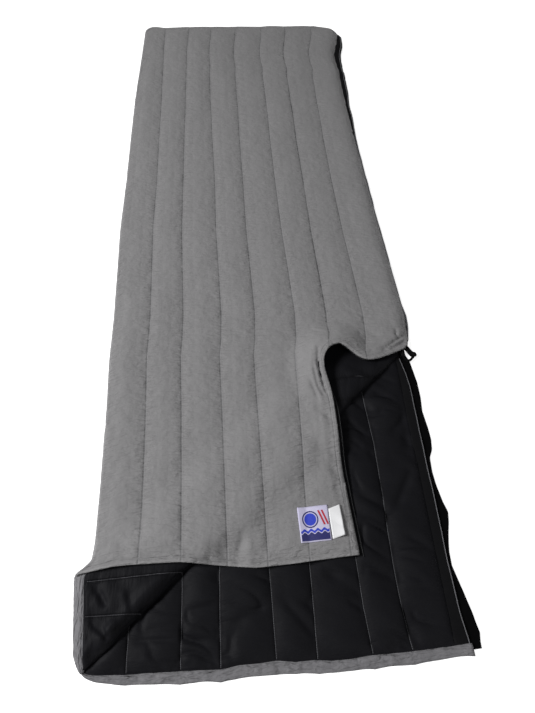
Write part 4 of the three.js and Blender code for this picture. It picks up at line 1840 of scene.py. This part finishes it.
        def shape(a: Array, s: Array) -> Array:
            """Hang the tape from inside the open edge.

            Args:
                a: Places across the tape, from the line where it turns.
                s: Places along the edge.

            Returns:
                Plan points.
            """
            beyond = np.maximum(a - 1.0, 0)
            level = np.minimum(a, 1.0) + beyond * np.cos(turn(s))
            waves = 0.7 * noise(s / 31, a / 9, 43.0) * (a > 0)
            drop = -self.hang - beyond * np.sin(turn(s)) + waves
            return route.bend(level - draw_in(s), s, drop)

        along = stations((6, route.length - 8, 5))
        across = np.linspace(-7, 9.5, 8)
        hung = strip("tape_above", tape, across, along, shape, self.tape_thickness)

        def offset(s: Array) -> Pair:
            """Keep the coil on the tape's outer edge.

            Args:
                s: Places along the edge.

            Returns:
                The coil's distances to the right of the edge and above it.
            """
            reach, rise = self.coil_reach, self.coil_rise
            level = 1 + reach * np.cos(turn(s)) + rise * np.sin(turn(s)) - draw_in(s)
            return level, -self.hang - reach * np.sin(turn(s)) + rise * np.cos(turn(s))

        wound = Coil().build("coil_above", coil, route, offset)
        return {"tape_above": hung, "coil_above": wound}

    def _closed(self, tape: Material, coil: Material) -> Pieces:
        """Make the closed part, which leans out from under the layer's edge far up.

        Args:
            tape: The tape's material.
            coil: The coil's material.

        Returns:
            The pieces by name.
        """
        along = stations((744, 2242, 6))

        def lean(y: Array) -> Array:
            """Say how far the strip shows beyond the layer's edge."""
            return column(CLOSED_LEAN, y) + 0.8 * noise(y / 40, 0 * y, 45.0)

        def shape(a: Array, y: Array) -> Array:
            """Lay the strip from inside the fold of the side out past it.

            Args:
                a: Places across it, from 0 to 1.
                y: Places along the liner.

            Returns:
                Plan points.
            """
            inner = column(SIDES, y, 2) - 9
            x = inner + (9 + lean(y)) * a - corner_drop(self.closed_end - y, CORNER_RIGHT)
            z = 9.0 - 5.0 * a**2 + 0.8 * noise(y / 44, a, 46.0) * a
            return np.stack([x, y, z], 1)

        across = np.linspace(0, 1, 7)
        flat = strip("tape_closed", tape, across, along, shape, self.tape_thickness)
        ys = np.linspace(746, 2238, 500)
        route = Route(shape(np.full(len(ys), 0.8), ys))
        plain = Coil(steps=7, sides=4)
        wound = plain.build("coil_closed", coil, route, lambda s: (0 * s, 1.3 + 0 * s))
        return {"tape_closed": flat, "coil_closed": wound}

    def _flap(self) -> Pieces:
        """Make the black flap that lies outside the lower coil.

        Returns:
            The pieces by name.
        """

        def shape(a: Array, y: Array) -> Array:
            """Lay the flap from under the tape out to its wavy edge.

            Args:
                a: Places across it, from 0 to 1.
                y: Places along the liner.

            Returns:
                Plan points.
            """
            inner = column(ZIP_BELOW, y) + 3
            outer = column(ZIP_BELOW, y, 3) + 0.6 * noise(y / 24, 0 * y, 47.0)
            waves = 1.3 * noise(y / 42, a * 1.5, 48.0) * smooth(a, 0.4, 1.0)
            z = 1.2 + np.maximum(waves, -0.1) + 1.2 * np.exp(-(((a - 0.98) / 0.08) ** 2))
            slant = 3 * a * (1 - smooth(y, 12, 40))
            return np.stack([inner + (outer - inner) * a, y + slant, z], 1)

        cloth = self.flap_finish.material()
        across, along = np.linspace(0, 1, 13), stations((8, 742, 4.5))
        return {"flap": strip("flap", cloth, across, along, shape, self.flap_thickness)}

    def _slider(self) -> Pieces:
        """Make the slider: two bevelled plates, the post between them and the pull's bridge.

        Returns:
            The pieces by name.
        """
        bm = bmesh.new()
        for level in (-3.2, 1.6):
            face = bm.faces.new([bm.verts.new((x, y, level)) for x, y in self.slider_outline])
            grown = bmesh.ops.extrude_face_region(bm, geom=[face])
            top = [item for item in grown["geom"] if isinstance(item, bmesh.types.BMVert)]
            bmesh.ops.translate(bm, verts=top, vec=(0, 0, self.slider_plate))
        # The post, the bridge and its two feet: sizes and places.
        for size, at in (
            ((3.0, 4.0, 3.6), (0, 6.0, -0.2)),
            ((2.4, 11.0, 1.6), (0, 0, 5.2)),
            ((2.4, 1.8, 2.2), (0, -4.6, 3.9)),
            ((2.4, 1.8, 2.2), (0, 4.6, 3.9)),
        ):
            block = bmesh.ops.create_cube(bm, size=1.0)["verts"]
            bmesh.ops.scale(bm, verts=block, vec=size)
            bmesh.ops.translate(bm, verts=block, vec=at)
        bmesh.ops.recalc_face_normals(bm, faces=bm.faces[:])
        bmesh.ops.bevel(
            bm, geom=bm.edges[:], offset=0.45, segments=2, profile=0.5, affect="EDGES", material=-1
        )
        points = np.array([v.co[:] for v in bm.verts]) + np.array(self.slider_at)
        move(bm, metres(points))
        return {"slider": link_mesh("slider", bm, self.slider_finish.material())}

    def _pull(self) -> Pieces:
        """Make the pull: a loop of cord drawn out to a moulded end.

        Returns:
            The pieces by name.
        """
        line = spline(self.loop, 110)
        made = tube("pull", self.cord_finish.material(), line, self.cord_radius, 10)
        bm = bmesh.new()
        bmesh.ops.create_uvsphere(bm, u_segments=20, v_segments=12, radius=1.0)
        length, width, height = self.end_size
        for vert in bm.verts:
            x, y, z = vert.co
            taper = 1.0 - 0.12 * x
            vert.co = (x * length, y * width * taper, z * height * taper)
        turned = Matrix.Rotation(math.radians(self.end_turn), 3, "Z")
        points = np.array([(turned @ v.co)[:] for v in bm.verts]) + np.array(self.end_at)
        move(bm, metres(points))
        return {"pull": made, "pull_end": link_mesh("pull_end", bm, self.end_finish.material())}


def tube(
    name: str, material: Material, line: Array, radius: float, sides: int
) -> Piece:
    """Make a round cord along a line.

    Args:
        name: Its name.
        material: Its material, whose pattern reads the cloth map.
        line: The points that it follows.
        radius: Its radius.
        sides: Its number of sides.

    Returns:
        The finished cord.
    """
    ahead = np.gradient(line, axis=0)
    ahead /= np.linalg.norm(ahead, axis=1)[:, None]
    aside = np.cross(ahead, (0.0, 0.0, 1.0))
    aside /= np.linalg.norm(aside, axis=1)[:, None]
    up = np.cross(aside, ahead)
    run = np.concatenate([[0.0], np.cumsum(np.linalg.norm(np.diff(line, axis=0), axis=1))])
    sheet = ClothMesh(name, np.linspace(0, 1, sides + 1), run)
    j = np.searchsorted(run, sheet.along - 1e-3)
    angle = 2 * math.pi * sheet.across
    points = line[j] + radius * (aside[j] * np.cos(angle)[:, None] + up[j] * np.sin(angle)[:, None])
    sheet.place(points)
    bmesh.ops.remove_doubles(sheet.bm, verts=sheet.bm.verts[:], dist=0.01)
    ends = [edge for edge in sheet.bm.edges if edge.is_boundary]
    bmesh.ops.holes_fill(sheet.bm, edges=ends, sides=sides + 2)
    bmesh.ops.recalc_face_normals(sheet.bm, faces=sheet.bm.faces[:])
    sheet.read_back()
    return sheet.finish((material,), lay=lambda u, v: (u * 2 * math.pi * radius, v))


@dataclass
class Surface:
    """The upper face of a finished piece, to lay others on.

    Attributes:
        piece: The finished piece.
        reach: How far round a place its highest point is looked for.
        tree: Its faces, sorted for reading.
    """

    piece: Piece
    reach: float = 5.0
    tree: BVHTree = field(init=False)

    def __post_init__(self) -> None:
        """Sort the piece's faces for reading."""
        mesh = self.piece.data
        places = [vert.co[:] for vert in mesh.vertices]
        self.tree = BVHTree.FromPolygons(places, [face.vertices[:] for face in mesh.polygons])

    def top(self, x: Array, y: Array) -> Array:
        """Read the highest point round each place.

        Args:
            x: Places across.
            y: Places along.

        Returns:
            Heights in millimetres.
        """
        highest = np.zeros(len(x))
        steps = (-self.reach, 0.0, self.reach)
        for dx, dy in ((a, b) for a in steps for b in steps):
            spots = metres(np.stack([x + dx, y + dy, 0 * x + 10 * TUCKED], 1))
            for k, spot in enumerate(spots):
                hit = self.tree.ray_cast(Vector(spot), Vector((0, 0, -1)))[0]
                if hit is not None:
                    highest[k] = max(highest[k], hit.z / MM)
        return highest


@dataclass
class Labels:
    """The woven patch and the care label beside it, sewn on the upper layer.

    Attributes:
        cloth: The face they lie on.
        patch: The patch's corners, from the near left one round to the far left one.
        care: The care label's corners in the same order.
        lift: How far a label's middle lies above the cloth's highest point near it.
        curl: How far the care label's right side rises off the cloth.
    """

    cloth: Surface
    patch: Table = ((442, 229), (510, 232), (508, 308), (439, 305))
    care: Table = ((512, 234), (540, 242), (536, 308), (509, 299))
    lift: float = 0.7
    curl: float = 5.0
    patch_finish: PatchFinish = PatchFinish()
    # White satin ribbon, finely ribbed.
    care_finish: TrimFinish = TrimFinish(
        "white_satin_ribbon", "#fdfdff", Weave.SATIN, 0.9, 0.5, depth_mm=0.05
    )

    def _laid(
        self, corners: Table, size: tuple[float, float], curl: float
    ) -> Callable[[Array, Array], Array]:
        """Give the function that lays a label between its corners.

        Args:
            corners: The label's corners.
            size: Its width and height.
            curl: How far its right side rises off the cloth.

        Returns:
            The function, from places on the label to plan points.
        """
        a, b, c, d = (np.array(corner, float) for corner in corners)

        def shape(u: Array, v: Array) -> Array:
            """Lay the label on the upper layer.

            Args:
                u: Places across the label.
                v: Places along it.

            Returns:
                Plan points.
            """
            s, t = (u / size[0])[:, None], (v / size[1])[:, None]
            flat = a * (1 - s) * (1 - t) + b * s * (1 - t) + c * s * t + d * (1 - s) * t
            z = self.cloth.top(flat[:, 0], flat[:, 1]) + self.lift
            rise = curl * (u / size[0]) ** 2 * (0.55 + 0.45 * np.cos(2.6 * v / size[1]))
            return np.stack([flat[:, 0], flat[:, 1], z + rise], 1)

        return shape

    def build(self) -> Pieces:
        """Build the two labels.

        Returns:
            The pieces by name.
        """
        made = {}
        for name, finish, corners, size, curl, steps, thickness in (
            ("patch", self.patch_finish, self.patch, PATCH_SIZE, 0.0, (20, 20), 0.9),
            ("care_ribbon", self.care_finish, self.care, CARE_SIZE, self.curl, (12, 22), 0.6),
        ):
            across, along = (np.linspace(0, side, count) for side, count in zip(size, steps))
            shape = self._laid(corners, size, curl)
            made[name] = strip(name, finish.material(), across, along, shape, thickness)
        return made


@dataclass
class Studio:
    """The pale floor, the soft light and the photograph's camera.

    Attributes:
        eye: The camera's plan place.
        down: Its angle below the horizon, in degrees.
        turn: Its turn towards the right, in degrees.
        roll: Its roll, in degrees.
        lens: Its focal length on a sensor whose long side is 36 mm.
        floor_half: Half the floor's width, in metres.
        floor_below: How far the floor lies below the liner, in metres.
        sky: Strength of the light from all round.
        lamps: Each soft light's name, place, aim, size and power, in metres and watts.
    """

    eye: tuple[float, float, float] = (288.0, 40.0, 1177.0)
    down: float = 60.11
    turn: float = 9.36
    roll: float = 6.98
    lens: float = 25.85
    floor_half: float = 9.0
    floor_below: float = 0.0006
    sky: float = 0.1
    lamps: Sequence[tuple[str, Sequence[float], Sequence[float], float, float]] = (
        ("key", (-3.7, -0.4, 3.1), (0.2, -1.0, 0.0), 1.4, 225.0),
        ("fill", (1.2, -2.0, 2.2), (0.2, -0.8, 0.0), 1.4, 12.0),
    )

    def camera(self) -> None:
        """Place the camera."""
        down, turn, roll = (math.radians(a) for a in (self.down, self.turn, self.roll))
        level = math.cos(down)
        ahead = Vector((math.sin(turn) * level, math.cos(turn) * level, -math.sin(down)))
        right = ahead.cross(Vector((0, 0, 1))).normalized()
        up = right.cross(ahead)
        across = right * math.cos(roll) + up * math.sin(roll)
        upright = up * math.cos(roll) - right * math.sin(roll)
        data = bpy.data.cameras.new("camera")
        data.lens = self.lens
        data.sensor_width = 36.0
        data.clip_start = 0.01
        made = bpy.data.objects.new("camera", data)
        spot = metres(np.array(self.eye))
        rotation = Matrix((across, upright, -ahead)).transposed()
        made.matrix_world = Matrix.Translation(Vector(spot)) @ rotation.to_4x4()
        bpy.context.scene.collection.objects.link(made)
        bpy.context.scene.camera = made

    def floor(self) -> None:
        """Lay the pale floor."""
        bm = bmesh.new()
        bmesh.ops.create_grid(bm, x_segments=2, y_segments=2, size=self.floor_half)
        bmesh.ops.translate(bm, verts=bm.verts, vec=(0, 0, -self.floor_below))
        # A translucent white table lit from below: even, dull and nearly without shadows.
        paper, tree = material_tree("lit_white_table")
        white = srgb("#fafafa")
        inputs = {
            "Base Color": white,
            "Roughness": 0.9,
            "Emission Color": white,
            "Emission Strength": 0.8,
        }
        add_node(tree, "OutputMaterial", (add_node(tree, "BsdfPrincipled", inputs),))
        link_mesh("floor", bm, paper)

    def lights(self) -> None:
        """Hang the soft lights."""
        world = bpy.data.worlds.new("studio")
        world.use_nodes = True
        sky = world.node_tree.nodes["Background"]
        sky.inputs["Color"].default_value = (1.0, 1.0, 1.0, 1.0)
        sky.inputs["Strength"].default_value = self.sky
        bpy.context.scene.world = world
        for name, spot, aim, size, power in self.lamps:
            data = bpy.data.lights.new(name, "AREA")
            data.size = size
            data.energy = power
            made = bpy.data.objects.new(name, data)
            look = (Vector(aim) - Vector(spot)).to_track_quat("-Z", "Y").to_matrix()
            made.matrix_world = Matrix.Translation(Vector(spot)) @ look.to_4x4()
            bpy.context.scene.collection.objects.link(made)

    def build(self) -> None:
        """Set up the camera, floor and lights."""
        bpy.context.scene.view_settings.view_transform = "Standard"
        self.camera()
        self.floor()
        self.lights()


def main() -> None:
    """Build the liner in order and report each piece."""
    logging.basicConfig(level=logging.INFO, format="%(name)s: %(message)s")
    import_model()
    Studio().build()
    cloth = Cloth()

    upper = UpperLayer().build(cloth)
    pieces = {**Zip().build(), **Labels(Surface(upper)).build()}
    on_upper = [pieces[name] for name in ("tape_above", "coil_above", "patch", "care_ribbon")]
    on_lower = [pieces[name] for name in ("tape_below", "coil_below", "tape_closed", "flap")]
    lower = LowerLayer().build(cloth)
    tuck = Tuck().build(cloth)
    # Each sheet's node, slot, size as it was cut, share of that rectangle, and what is sewn on.
    sheets = (
        (upper, "quilt", "quilted_shell", (826.0, LENGTH - HEM_BACK), 0.95, on_upper),
        (lower, "quilt", "quilted_shell", (SEAMS_BELOW[-1], LENGTH), 1.0, on_lower),
        (tuck, "quilt", "lining", (420.0, 692.0), 0.9, []),
    )
    for piece, node, slot, (width, length), share, others in sheets:
        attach(piece, BODY)
        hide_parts(node)
        LOG.info("%s: %d faces", piece.name, len(piece.data.polygons))
    stands_for = {
        "tape_below": ("zip_tape_below", "zip_tape"),
        "coil_below": ("zip_coil_below", "zip_coil"),
        "tape_above": ("zip_tape_above", "zip_tape"),
        "coil_above": ("zip_coil_above", "zip_coil"),
        "tape_closed": ("zip_closed", "zip_tape"),
        "coil_closed": ("zip_closed", "zip_coil"),
        "flap": ("draft_flap", "lining"),
        "slider": ("zip_slider", "slider"),
        "pull": ("zip_pull", "pull_cord"),
        "pull_end": ("zip_pull", "pull_cord"),
        "patch": ("label_patch", "patch"),
        "care_ribbon": ("care_label", "care_label"),
    }
    for name, piece in pieces.items():
        node, slot = stands_for[name]
        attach(piece, BODY)
        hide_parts(node)
        LOG.info("%s: %d faces", piece.name, len(piece.data.polygons))


if __name__ == "__main__":
    main()
